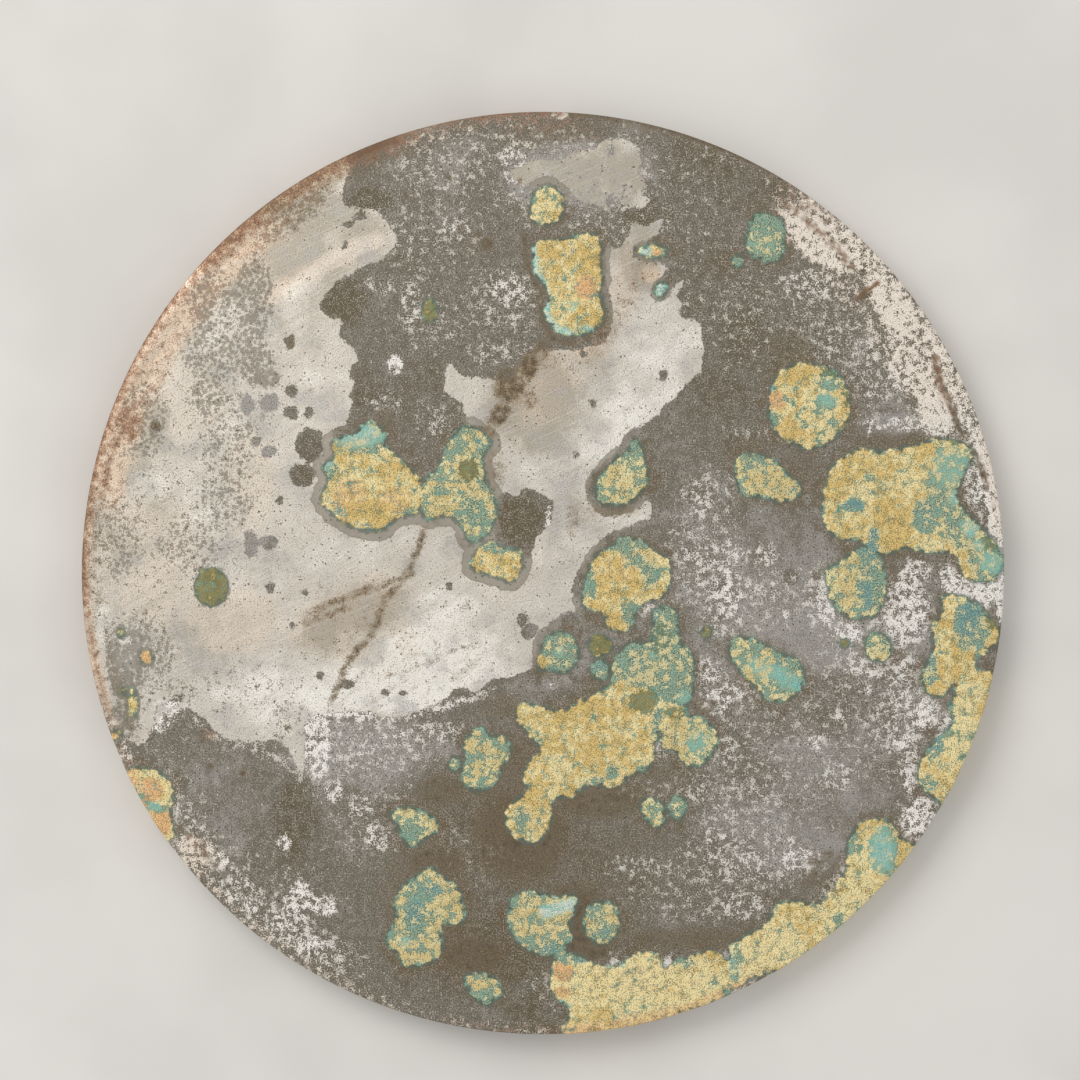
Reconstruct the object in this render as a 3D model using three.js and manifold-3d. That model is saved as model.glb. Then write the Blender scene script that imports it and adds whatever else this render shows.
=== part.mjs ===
// A round cast bronze mirror with a plain reflecting face, lying face up on the raised border of its back.
// The whole mirror is one casting: a thin plate that bulges gently on the face, a thick plain border, and in
// the middle of the back a round knob pierced for a cord. Millimetres, +Z up. The origin is the middle of the
// plane that the border rests on, and the cord hole runs along X.
import * as THREE from "three";
import { mergeVertices } from "three/addons/utils/BufferGeometryUtils.js";
import Module from "manifold-3d";

// Driving dimensions of the face and the edge
const FACE_DIAMETER = 200;
const FACE_RISE = 3; // how far the middle of the face stands above its edge
const BORDER_THICKNESS = 8.5; // from the resting plane up to the edge of the face
const PLATE_THICKNESS = 2.8; // metal between the face and the field of the back
const ROLL_WIDTH = 3.5; // outer ring of the face, which polishing has rolled down
const ROLL_DROP = 0.35; // how far the face has dropped at the outside of that ring
const EDGE_ARRIS = 0.5; // radius of the worn corner between face and side
const EDGE_TAPER = 1.2; // how far the side leans in from the face to the back
const BACK_CHAMFER = 0.6; // worn corner between the side and the border's underside

// Driving dimensions of the back
const BORDER_WIDTH = 11; // flat underside of the raised border
const BORDER_SLOPE = 1.8; // run of the border's sloping inner side
const KNOB_DIAMETER = 30;
const KNOB_CLEARANCE = 0.6; // from the resting plane up to the crown of the knob
const SEAT_MARGIN = 6; // flat seat round the knob, out to its ring
const RING_WIDTH = 2; // of the ring round the seat and of each raised line
const RING_CREST = 1; // flat top of a ring or line
const RING_HEIGHT = 0.9;
const LINE_COUNT = 2; // raised lines between the seat's ring and the border

// Driving dimensions of the cord hole
const HOLE_WIDTH = 7.2;
const HOLE_ROOF = 2.6; // metal between the hole and the crown of the knob
const HOLE_FLOOR = 0.4; // metal between the hole and the plate
const HOLE_ARCH = 0.68; // share of the hole's height that is arched
const HOLE_OVERRUN = 1; // how far the tool that cuts the hole runs out past the knob

// How finely the round forms are divided
const DISC_STEPS = 96;
const KNOB_STEPS = 56;
const FACE_STEPS = 5;
const FIELD_STEPS = 2;
const CORNER_STEPS = 3;
const DOME_STEPS = 8;
const ARCH_STEPS = 12;
const KNOB_ROOT = 0.5; // how far the knob's solid runs up into the plate that it is cast with

const faceRadius = FACE_DIAMETER / 2;
const rollInner = faceRadius - ROLL_WIDTH;
const arrisInner = faceRadius - EDGE_ARRIS;
const restOuter = faceRadius - EDGE_TAPER - BACK_CHAMFER;
const restInner = restOuter - BORDER_WIDTH;
const fieldOuter = restInner - BORDER_SLOPE;
const knobRadius = KNOB_DIAMETER / 2;
const seatRadius = knobRadius + SEAT_MARGIN;
const seatHeight = fieldHeight(seatRadius);

// Height of the reflecting face at a radius: a shallow parabola whose outer ring rolls down to the edge.
function faceHeight(radius) {
  const bulge = BORDER_THICKNESS + ROLL_DROP + FACE_RISE * (1 - (radius / faceRadius) ** 2);
  const rolled = Math.max(0, (radius - rollInner) / ROLL_WIDTH);
  return bulge - ROLL_DROP * rolled ** 2;
}

// Height of the plain field of the back, which follows the face at the plate's thickness below it.
function fieldHeight(radius) {
  return faceHeight(radius) - PLATE_THICKNESS;
}

// The values of a function at evenly spaced shares of its way, from 0 to 1.
function sweep(steps, place) {
  return Array.from({ length: steps + 1 }, (_, i) => place(i / steps));
}

// Section of a raised ring on the back, from its outer foot to its inner foot.
function ringSection(middle) {
  const foot = RING_WIDTH / 2;
  const crest = RING_CREST / 2;
  return [
    [middle + foot, fieldHeight(middle + foot)],
    [middle + crest, fieldHeight(middle + crest) - RING_HEIGHT],
    [middle - crest, fieldHeight(middle - crest) - RING_HEIGHT],
    [middle - foot, fieldHeight(middle - foot)],
  ];
}

// The face from its middle out, over the rolled ring and the worn corner, as points of [radius, height].
function faceSection() {
  const bulge = sweep(FACE_STEPS, (share) => [rollInner * share, faceHeight(rollInner * share)]);
  const roll = sweep(CORNER_STEPS, (share) => {
    const radius = rollInner + (arrisInner - rollInner) * share;
    return [radius, faceHeight(radius)];
  });
  const arris = sweep(CORNER_STEPS, (share) => {
    const turn = (Math.PI / 2) * share;
    const drop = EDGE_ARRIS * (1 - Math.cos(turn));
    return [arrisInner + EDGE_ARRIS * Math.sin(turn), faceHeight(arrisInner) - drop];
  });
  return [...bulge, ...roll.slice(1), ...arris.slice(1)];
}

// The back from the border in to the middle: evenly spaced rings with plain field between them, then the seat.
function backSection() {
  const seatRing = seatRadius + RING_WIDTH / 2;
  const ringGap = (fieldOuter - seatRing) / (LINE_COUNT + 1);
  const points = [];
  let stretchOuter = fieldOuter;
  for (let i = LINE_COUNT; i >= 0; i--) {
    const middle = seatRing + ringGap * i;
    const stretchInner = middle + RING_WIDTH / 2;
    const stretch = sweep(FIELD_STEPS, (share) => {
      const radius = stretchOuter + (stretchInner - stretchOuter) * share;
      return [radius, fieldHeight(radius)];
    });
    points.push(...stretch.slice(0, -1), ...ringSection(middle));
    stretchOuter = middle - RING_WIDTH / 2;
  }
  return [...points, [0, seatHeight]];
}

// Closed section of the disc: face, corner, leaning side, flat border, back.
function discSection() {
  const border = [
    [faceRadius - EDGE_TAPER, BACK_CHAMFER],
    [restOuter, 0],
    [restInner, 0],
  ];
  return [...faceSection(), ...border, ...backSection()];
}

// Section of the knob: a root inside the plate and a dome, a quarter of an ellipse, hanging below it.
function knobSection() {
  const depth = seatHeight - KNOB_CLEARANCE;
  const root = seatHeight + KNOB_ROOT;
  const dome = sweep(DOME_STEPS, (share) => {
    const turn = (Math.PI / 2) * share;
    return [knobRadius * Math.cos(turn), seatHeight - depth * Math.sin(turn)];
  });
  return [[0, root], [knobRadius, root], ...dome.slice(0, -1), [0, KNOB_CLEARANCE]];
}

// A section, listed from the top of the axis round the outside to its foot, turned about the vertical axis.
function turned(section, steps) {
  const points = section.map(([radius, height]) => new THREE.Vector2(radius, height)).reverse();
  return new THREE.LatheGeometry(points, steps).rotateX(Math.PI / 2);
}

// The tool that cuts the cord hole: flat towards the plate, arched towards the crown, run through along X.
function holeTool() {
  const floor = seatHeight - HOLE_FLOOR;
  const roof = KNOB_CLEARANCE + HOLE_ROOF;
  const half = HOLE_WIDTH / 2;
  const rise = (floor - roof) * HOLE_ARCH;
  const arch = sweep(ARCH_STEPS, (share) => {
    const turn = Math.PI * share;
    return new THREE.Vector2(half * Math.cos(turn), roof + rise - rise * Math.sin(turn));
  });
  const outline = new THREE.Shape([new THREE.Vector2(half, floor), ...arch, new THREE.Vector2(-half, floor)]);
  const length = KNOB_DIAMETER + 2 * HOLE_OVERRUN;
  return new THREE.ExtrudeGeometry(outline, { depth: length, bevelEnabled: false })
    .translate(0, 0, -length / 2)
    .rotateX(Math.PI / 2)
    .rotateZ(Math.PI / 2);
}

const wasm = await Module();
wasm.setup();

// A closed geometry as a solid that can be joined and cut.
function solidOf(geometry) {
  const bare = geometry.clone().deleteAttribute("normal").deleteAttribute("uv");
  const merged = mergeVertices(bare, 1e-4);
  const vertProperties = new Float32Array(merged.attributes.position.array);
  const triVerts = new Uint32Array(merged.index.array);
  return new wasm.Manifold(new wasm.Mesh({ numProp: 3, vertProperties, triVerts }));
}

// A solid as a geometry again, with its normals worked out.
function geometryOf(solid) {
  const mesh = solid.getMesh();
  const geometry = new THREE.BufferGeometry();
  geometry.setAttribute("position", new THREE.BufferAttribute(new Float32Array(mesh.vertProperties), 3));
  geometry.setIndex(new THREE.BufferAttribute(new Uint32Array(mesh.triVerts), 1));
  geometry.computeVertexNormals();
  return geometry;
}

const patinatedBronze = new THREE.MeshStandardMaterial({ color: 0x8a8276, roughness: 0.55, metalness: 0.6 });

const disc = solidOf(turned(discSection(), DISC_STEPS));
const knob = solidOf(turned(knobSection(), KNOB_STEPS));
const casting = disc.add(knob).subtract(solidOf(holeTool()));

const mirror = new THREE.Mesh(geometryOf(casting), patinatedBronze);
mirror.name = "mirror_disc";

const part = new THREE.Group();
part.name = "bronze_mirror";
part.add(mirror);

export default part;
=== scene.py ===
"""Bronze mirror: the patinated surface of the casting, lying face up in a plain pale studio.

The casting is one closed surface worked out from its section. Its corrosion, polish and stains are laid out
in pixels of the photograph, as named outlines, spots, streaks and rim bands, and so is some painted light: a
highlight on the polish, a white highlight on one crust, shade along the rim's upper and left edge and a
shadow just outside the crusts. Whole arrays turn them into relief and into attributes of the surface, and one
procedural finish reads the attributes.
"""
import logging
import math
from dataclasses import dataclass
from enum import Enum

import bpy
import numpy as np
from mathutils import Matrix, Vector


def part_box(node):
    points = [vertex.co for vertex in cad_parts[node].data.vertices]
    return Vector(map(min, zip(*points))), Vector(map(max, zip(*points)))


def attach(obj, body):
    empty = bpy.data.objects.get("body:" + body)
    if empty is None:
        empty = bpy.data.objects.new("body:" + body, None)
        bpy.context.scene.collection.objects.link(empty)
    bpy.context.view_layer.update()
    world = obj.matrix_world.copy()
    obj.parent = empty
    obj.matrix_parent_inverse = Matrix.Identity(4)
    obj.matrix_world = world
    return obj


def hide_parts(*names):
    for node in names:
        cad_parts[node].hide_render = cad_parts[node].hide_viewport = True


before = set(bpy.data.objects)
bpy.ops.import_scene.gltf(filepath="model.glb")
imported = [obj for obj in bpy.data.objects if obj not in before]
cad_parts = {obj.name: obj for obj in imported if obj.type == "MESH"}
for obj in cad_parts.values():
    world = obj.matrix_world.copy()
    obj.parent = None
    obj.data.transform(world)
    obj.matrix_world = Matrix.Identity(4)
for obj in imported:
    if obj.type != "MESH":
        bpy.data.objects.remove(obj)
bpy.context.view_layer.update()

LOG = logging.getLogger("bronze_mirror")
Array = np.ndarray
Point = tuple[float, float]

MM = 0.001
NODE = "mirror_disc"
BODY = "root"
UNROLLED = "unrolled"

# The photograph's frame, and where the disc stands in it
FRAME_PIXELS = 1080
DISC_CENTRE: Point = (543.0, 573.0)
DISC_PIXELS = 924.0


def ease(value: Array, low: float, high: float) -> Array:
    """Smooth step from 0 at low to 1 at high: three times the square less twice the cube of the share.

    Args:
        value: Values to place between the two ends.
        low: Value that gives 0.
        high: Value that gives 1.

    Returns:
        Shares from 0 to 1.
    """
    share = np.clip((value - low) / (high - low), 0.0, 1.0)
    return share * share * (3.0 - 2.0 * share)


@dataclass(frozen=True)
class LatticeNoise:
    """Smooth seeded noise: random values on a cubic lattice, eased between the corners, octaves added."""

    seed: int
    cell: float
    octaves: int = 3
    lattice: int = 32

    def at(self, places: Array) -> Array:
        """Noise at places in space.

        Args:
            places: Points in metres, one a row.

        Returns:
            Values from 0 to 1, one for each point.
        """
        table = np.random.default_rng(self.seed).random((self.lattice,) * 3)
        total = np.zeros(len(places))
        weight_sum = 0.0
        for octave in range(self.octaves):
            spread = places * (2.0**octave / self.cell) + 7.31 * octave
            corner = np.floor(spread).astype(int)
            share = spread - corner
            share = share * share * (3.0 - 2.0 * share)
            weight = 0.5**octave
            value = np.zeros(len(places))
            for step in np.ndindex(2, 2, 2):
                index = (corner + step) % self.lattice
                part = np.where(np.array(step) == 1, share, 1.0 - share).prod(axis=1)
                value += part * table[index[:, 0], index[:, 1], index[:, 2]]
            total += weight * value
            weight_sum += weight
        return total / weight_sum


class Trace(Enum):
    """What the surface remembers at each point, by the name of its attribute.

    Depths are millimetres inside an edge and negative outside it. The others are shares from 0 to 1, apart
    from tone, from -1 for dark olive metal to 1 for pale violet, and sheen, from -1 for dim polish to 1.
    """

    CRUST = "crust_depth"
    HALO = "halo_depth"
    POLISH = "polish_depth"
    DOTS = "dot_density"
    BLOOM = "bloom"
    RUST = "rust"
    WARMTH = "warmth"
    TONE = "tone"
    SHEEN = "sheen"
    VERDIGRIS = "verdigris"
    CYAN = "cyan"
    BLUE = "blue"
    OLIVE = "olive"


class Mineral(Enum):
    """What a crust mostly is, as its shares of verdigris and of olive."""

    OCHRE = (0.1, 0.0)
    MIXED = (0.5, 0.0)
    TEAL = (0.74, 0.0)
    OLIVE = (0.4, 0.95)


@dataclass(frozen=True)
class Spot:
    """A turned ellipse, in pixels of the photograph."""

    x: float
    y: float
    across: float
    along: float
    weight: float = 1.0
    turn: float = 0.0

    def reach(self, x: Array, y: Array) -> Array:
        """Distance from the middle as a share of the ellipse's own radius in that direction."""
        turn = math.radians(self.turn)
        over = (x - self.x) * math.cos(turn) - (y - self.y) * math.sin(turn)
        down = (x - self.x) * math.sin(turn) + (y - self.y) * math.cos(turn)
        return np.hypot(over / self.across, down / self.along)

    def depth(self, x: Array, y: Array) -> Array:
        """Pixels inside the ellipse's edge, along its shorter radius."""
        return (1.0 - self.reach(x, y)) * min(self.across, self.along)

    def glow(self, x: Array, y: Array) -> Array:
        """The spot's weight, easing out from 0.55 to 1.25 of its radius."""
        return self.weight * (1.0 - ease(self.reach(x, y), 0.55, 1.25))


@dataclass(frozen=True)
class Outline:
    """A closed smooth line through a few points, in pixels of the photograph."""

    points: tuple[Point, ...]
    steps: int = 4

    def line(self) -> Array:
        """The line as points: a closed Catmull-Rom curve, parallel at each point to its neighbours."""
        points = np.array(self.points, dtype=float)
        before, here, after, beyond = (np.roll(points, shift, axis=0) for shift in (1, 0, -1, -2))
        share = np.linspace(0.0, 1.0, self.steps, endpoint=False)[:, None, None]
        curve = here + 0.5 * share * (after - before)
        curve = curve + 0.5 * share**2 * (2.0 * before - 5.0 * here + 4.0 * after - beyond)
        curve = curve + 0.5 * share**3 * (3.0 * here - before - 3.0 * after + beyond)
        return curve.transpose(1, 0, 2).reshape(-1, 2)

    def depth(self, x: Array, y: Array) -> Array:
        """Pixels inside the line: the distance to its nearest stretch, signed by counting crossings.

        Args:
            x: Pixels to the right.
            y: Pixels down.

        Returns:
            Depths, positive inside and negative outside.
        """
        line = self.line()
        nearest = np.full(x.shape, np.inf)
        inside = np.zeros(x.shape, dtype=bool)
        for (ax, ay), (bx, by) in zip(line, np.roll(line, -1, axis=0)):
            run, fall = bx - ax, by - ay
            share = np.clip(((x - ax) * run + (y - ay) * fall) / (run * run + fall * fall + 1e-9), 0.0, 1.0)
            gap = (x - ax - share * run) ** 2 + (y - ay - share * fall) ** 2
            nearest = np.minimum(nearest, gap)
            crosses = (ay > y) != (by > y)
            inside ^= crosses & (x < ax + (y - ay) * run / (fall if fall else 1e-9))
        return np.sqrt(nearest) * np.where(inside, 1.0, -1.0)


@dataclass(frozen=True)
class Patch:
    """An area inside a smooth closed line, with an edge as wide as its fringe."""

    line: Outline
    weight: float
    fringe: float = 2.0

    def glow(self, x: Array, y: Array) -> Array:
        """The patch's weight inside its line, easing to 0 over the fringe on both sides of it."""
        return self.weight * ease(self.line.depth(x, y), -self.fringe, self.fringe)


@dataclass(frozen=True)
class Streak:
    """A line of some width through a few points, in pixels of the photograph."""

    points: tuple[Point, ...]
    width: float
    weight: float = 1.0

    def glow(self, x: Array, y: Array) -> Array:
        """The streak's weight on its line, easing out to its width on both sides."""
        nearest = np.full(x.shape, np.inf)
        for (ax, ay), (bx, by) in zip(self.points, self.points[1:]):
            run, fall = bx - ax, by - ay
            share = np.clip(((x - ax) * run + (y - ay) * fall) / (run * run + fall * fall), 0.0, 1.0)
            nearest = np.minimum(nearest, np.hypot(x - ax - share * run, y - ay - share * fall))
        return self.weight * (1.0 - ease(nearest, 0.25 * self.width, self.width))


@dataclass(frozen=True)
class RimBand:
    """A stretch of a ring along the rim: its bearings in degrees, counter-clockwise, and its two radii."""

    start: float
    end: float
    inner: float
    outer: float
    weight: float = 1.0
    fade: float = 9.0
    fringe: float = 7.0

    def glow(self, x: Array, y: Array) -> Array:
        """The band's weight, easing out over its fringe in radius and its fade in bearing."""
        over, up = x - DISC_CENTRE[0], DISC_CENTRE[1] - y
        radius = np.hypot(over, up)
        middle, half = (self.start + self.end) / 2.0, (self.end - self.start) / 2.0
        bearing = np.abs((np.degrees(np.arctan2(up, over)) - middle + 180.0) % 360.0 - 180.0)
        round_share = 1.0 - ease(bearing, half - self.fade / 2.0, half + self.fade / 2.0)
        rise = ease(radius, self.inner - self.fringe, self.inner + self.fringe)
        fall = 1.0 - ease(radius, self.outer - self.fringe, self.outer + self.fringe)
        return self.weight * round_share * rise * fall


@dataclass(frozen=True)
class Crust:
    """One raised patch of corrosion."""

    name: str
    mineral: Mineral
    shape: Outline | Spot


OCHRE, MIXED, TEAL, OLIVE = Mineral.OCHRE, Mineral.MIXED, Mineral.TEAL, Mineral.OLIVE

CRUSTS: tuple[Crust, ...] = (
    Crust("west_cluster", OCHRE, Outline((
        (372, 421), (386, 435), (386, 446), (398, 457), (418, 477), (424, 484), (420, 512), (398, 518),
        (382, 531), (358, 529), (336, 517), (321, 499), (328, 480), (322, 466), (334, 457), (332, 442),
        (345, 436), (355, 434), (362, 426)))),
    Crust("middle_hook", MIXED, Outline((
        (458, 430), (470, 426), (488, 437), (492, 446), (483, 460), (488, 485), (496, 500), (498, 510),
        (490, 532), (473, 543), (466, 538), (462, 526), (448, 516), (428, 520), (420, 508), (423, 484),
        (438, 468), (448, 445)))),
    Crust("under_hook", OCHRE, Outline((
        (478, 548), (492, 542), (505, 547), (518, 549), (523, 558), (519, 574), (510, 582), (495, 577),
        (471, 568)))),
    Crust("south_of_polish", MIXED, Outline((
        (475, 728), (485, 729), (492, 736), (504, 735), (510, 745), (509, 756), (502, 765), (498, 778),
        (486, 790), (468, 787), (461, 774), (466, 758), (464, 742)))),
    Crust("beside_south", MIXED, Spot(455, 764, 6, 7)),
    Crust("east_of_polish", OCHRE, Outline((
        (612, 545), (626, 537), (643, 541), (652, 550), (668, 560), (671, 578), (662, 597), (648, 601),
        (636, 610), (632, 625), (622, 632), (606, 625), (604, 610), (595, 611), (583, 605), (583, 588),
        (590, 566), (598, 554)))),
    Crust("ring_eye", TEAL, Spot(560, 652, 19, 21)),
    Crust("ring_drop", OCHRE, Spot(543, 661, 6, 8)),
    Crust("small_green", OLIVE, Spot(600, 645, 12, 11)),
    Crust("blue_eye", TEAL, Spot(600, 669, 10, 10)),
    Crust("ridge", TEAL, Outline((
        (652, 612), (662, 606), (676, 612), (680, 640), (692, 655), (693, 676), (688, 704), (668, 712),
        (640, 700), (618, 690), (610, 672), (614, 658), (628, 643), (650, 640)))),
    Crust("great_patch", OCHRE, Outline((
        (517, 706), (530, 703), (560, 710), (580, 700), (592, 695), (608, 684), (622, 672), (650, 680),
        (680, 697), (687, 712), (672, 722), (660, 730), (656, 745), (648, 768), (632, 774), (615, 786),
        (590, 784), (572, 796), (553, 799), (551, 822), (541, 838), (529, 843), (509, 831), (507, 810),
        (527, 788), (523, 778), (530, 758), (540, 750), (530, 735), (516, 718)))),
    Crust("great_patch_east", MIXED, Outline((
        (658, 724), (668, 718), (682, 715), (700, 716), (713, 728), (717, 741), (712, 755), (698, 766),
        (684, 763), (676, 753), (662, 747)))),
    Crust("east_pool", MIXED, Outline((
        (727, 650), (734, 638), (753, 638), (775, 651), (795, 658), (804, 676), (798, 692), (783, 701),
        (765, 699), (752, 684), (738, 670)))),
    Crust("north_east_of_polish", MIXED, Outline((
        (634, 440), (642, 448), (644, 462), (648, 478), (642, 491), (625, 504), (601, 503), (595, 486),
        (603, 472), (616, 458), (626, 453)))),
    Crust("kidney", OCHRE, Outline((
        (536, 243), (548, 240), (566, 239), (580, 234), (594, 236), (602, 246), (600, 262), (602, 280),
        (599, 295), (604, 312), (600, 326), (586, 334), (570, 336), (556, 331), (546, 320), (545, 309),
        (549, 297), (545, 286), (535, 275), (532, 258)))),
    Crust("above_kidney", OCHRE, Outline((
        (533, 195), (541, 187), (553, 188), (563, 197), (564, 210), (557, 221), (545, 225), (532, 220),
        (531, 207)))),
    Crust("white_bead", OCHRE, Spot(653, 252, 13, 7)),
    Crust("green_bead", MIXED, Spot(661, 290, 6, 8, turn=-20)),
    Crust("north_east", TEAL, Outline((
        (752, 217), (763, 213), (783, 222), (785, 240), (782, 258), (770, 262), (752, 257), (745, 243)))),
    Crust("north_east_bead", TEAL, Spot(737, 262, 6, 6)),
    Crust("round_patch", OCHRE, Outline((
        (790, 366), (806, 363), (835, 371), (846, 388), (849, 407), (845, 425), (833, 440), (812, 449),
        (796, 446), (778, 435), (768, 418), (768, 397), (775, 378)))),
    Crust("east_drift", MIXED, Outline((
        (737, 457), (752, 454), (772, 460), (786, 473), (799, 484), (799, 496), (784, 502), (760, 498),
        (740, 493), (734, 474)))),
    Crust("great_east", OCHRE, Outline((
        (842, 457), (862, 448), (882, 451), (912, 446), (935, 439), (955, 440), (971, 450), (970, 464),
        (962, 478), (957, 500), (975, 520), (996, 543), (1003, 560), (999, 576), (980, 583), (964, 577),
        (954, 554), (930, 553), (905, 549), (880, 555), (858, 542), (835, 537), (822, 517), (826, 478)))),
    Crust("below_great_east", MIXED, Outline((
        (862, 546), (876, 550), (884, 570), (885, 598), (876, 614), (862, 619), (846, 616), (830, 603),
        (826, 585), (824, 572), (843, 558)))),
    Crust("green_drop", MIXED, Spot(878, 647, 14, 15)),
    Crust("east_seed", OLIVE, Spot(845, 643, 5, 5)),
    Crust("seed", OLIVE, Spot(706, 632, 6, 6)),
    Crust("east_rim", OCHRE, Outline((
        (940, 598), (955, 594), (972, 600), (990, 618), (999, 636), (988, 652), (977, 656), (976, 666),
        (988, 672), (1010, 674), (1004, 710), (985, 760), (953, 806), (936, 800), (920, 784), (918, 768),
        (925, 752), (946, 729), (953, 719), (948, 708), (955, 686), (938, 698), (925, 691), (920, 676),
        (932, 650), (932, 625), (943, 612)))),
    Crust("south_east_rim", OCHRE, Outline((
        (553, 960), (565, 950), (585, 959), (612, 966), (632, 955), (650, 951), (661, 957), (665, 969),
        (674, 961), (700, 953), (714, 950), (728, 958), (730, 945), (748, 934), (768, 922), (778, 903),
        (800, 901), (818, 904), (832, 890), (846, 868), (847, 843), (860, 823), (885, 819), (902, 838),
        (918, 852), (900, 900), (850, 945), (790, 978), (772, 972), (738, 986), (720, 999), (692, 1010),
        (652, 1024), (600, 1036), (562, 1034), (571, 1010), (552, 994)))),
    Crust("south_west", MIXED, Outline((
        (420, 872), (432, 866), (443, 876), (457, 886), (466, 911), (460, 922), (441, 926), (443, 945),
        (434, 961), (404, 966), (398, 954), (385, 941), (396, 917), (393, 904), (401, 888)))),
    Crust("south_west_small", MIXED, Outline((
        (390, 814), (398, 808), (411, 807), (431, 813), (438, 827), (425, 840), (407, 845), (398, 826)))),
    Crust("south", MIXED, Outline((
        (510, 900), (530, 890), (558, 896), (573, 893), (577, 905), (569, 925), (571, 938), (555, 955),
        (528, 949), (510, 931)))),
    Crust("south_small", MIXED, Outline((
        (590, 905), (602, 900), (613, 903), (620, 923), (612, 940), (598, 943), (584, 932), (584, 915)))),
    Crust("south_drop", MIXED, Outline((
        (463, 978), (475, 973), (488, 974), (499, 982), (503, 994), (489, 1004), (474, 998)))),
    Crust("lower_pair_west", MIXED, Outline((
        (640, 801), (652, 797), (663, 806), (664, 820), (656, 827), (644, 818)))),
    Crust("lower_pair_east", MIXED, Spot(677, 807, 9, 12)),
    Crust("west_rim", OCHRE, Outline((
        (128, 768), (150, 769), (165, 775), (173, 792), (170, 812), (174, 830), (168, 841), (148, 838),
        (125, 800)))),
    Crust("west_olive", OLIVE, Spot(212, 587, 17, 19)),
    Crust("orange_bead", OCHRE, Spot(146, 657, 6.5, 6.5)),
    Crust("west_seed_1", OCHRE, Spot(121, 633, 3.5, 4.5)),
    Crust("west_seed_2", OCHRE, Spot(123, 691, 3.5, 4)),
    Crust("west_seed_3", OCHRE, Spot(133, 703, 5, 12)),
    Crust("west_seed_4", OCHRE, Spot(116, 735, 5, 6)),
    Crust("upper_seed", OLIVE, Spot(430, 311, 8, 11)),
)

# Metal that still has its polish
POLISHED: tuple[Outline, ...] = (
    Outline((
        (352, 158), (345, 182), (344, 203), (378, 212), (397, 240), (388, 256), (350, 275), (332, 288),
        (322, 305),
        (330, 318), (343, 321), (339, 335), (356, 352), (357, 366), (353, 377), (355, 388), (352, 405),
        (345, 425), (333, 434), (350, 480), (400, 500), (440, 490), (470, 450), (487, 430), (474, 426),
        (467, 420), (462, 402), (450, 399), (444, 383), (451, 362), (464, 377), (492, 378), (510, 383),
        (530, 355), (560, 350), (600, 345), (612, 320), (607, 280), (607, 250), (622, 245), (632, 224),
        (650, 225), (666, 216), (658, 233), (645, 245), (660, 262), (668, 270), (652, 287), (662, 298),
        (672, 288), (684, 280), (677, 296), (683, 305), (679, 317), (700, 325), (702, 368), (688, 382),
        (672, 400), (648, 423), (629, 432), (612, 457), (590, 475), (588, 500), (612, 516), (632, 508),
        (645, 500), (653, 508), (645, 521), (607, 535), (590, 557), (574, 578), (573, 592), (580, 608),
        (562, 615), (538, 637), (533, 665), (512, 676), (492, 680), (478, 692), (460, 688), (440, 702),
        (412, 713), (396, 718), (365, 711), (340, 712), (310, 718), (306, 745), (303, 775), (292, 755),
        (278, 740), (262, 742), (225, 738), (205, 718), (183, 708), (160, 718), (140, 745), (112, 720),
        (85, 650), (76, 573), (82, 500), (95, 420), (125, 345), (165, 285), (205, 240), (250, 198),
        (300, 168))),
    Outline((
        (510, 174), (524, 163), (540, 159), (560, 160), (575, 152), (595, 148), (605, 141), (620, 138),
        (634, 144), (641, 158),
        (639, 172), (646, 186), (641, 194), (650, 200), (640, 208), (622, 206), (612, 214), (598, 206),
        (582, 202), (568, 190), (548, 184), (526, 186))),
)

# Dull discs and blots inside the polish
TARNISHED: tuple[Spot | Outline, ...] = (
    Outline((
        (498, 497), (518, 496), (526, 488), (541, 494), (552, 503), (550, 523), (536, 537), (529, 559),
        (516, 551), (495, 537))),
    Spot(291, 391, 5, 7), Spot(292, 413, 7, 7), Spot(310, 412, 5, 5), Spot(270, 403, 9, 9),
    Spot(248, 405, 6, 10), Spot(270, 452, 8, 6), Spot(257, 442, 5, 5), Spot(310, 445, 14, 17),
    Spot(303, 475, 13, 11), Spot(252, 545, 7, 14), Spot(270, 543, 8, 7), Spot(360, 373, 10, 10),
    Spot(365, 397, 14, 16), Spot(290, 343, 5, 8), Spot(345, 245, 3, 4), Spot(530, 631, 8, 8),
    Spot(523, 619, 6, 6), Spot(156, 426, 5, 5), Spot(320, 675, 4, 4), Spot(348, 683, 5, 5),
    Spot(592, 404, 4, 4), Spot(575, 454, 3.5, 3.5), Spot(663, 376, 4, 6), Spot(386, 692, 4, 4),
    Spot(293, 625, 3.5, 3.5), Spot(449, 586, 3.5, 3.5), Spot(270, 588, 5, 5), Spot(582, 355, 4, 3),
    Spot(403, 693, 3.5, 3.5), Spot(281, 500, 3.5, 3.5), Spot(306, 593, 3.5, 3.5),
    Spot(612, 203, 7, 8), Spot(625, 228, 6, 8), Spot(618, 243, 5, 5), Spot(611, 151, 4, 5),
    Spot(645, 213, 7, 6), Spot(638, 252, 6, 6), Spot(360, 217, 7, 4), Spot(347, 224, 5, 3),
    Spot(176, 700, 9, 5, turn=35),
)

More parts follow.
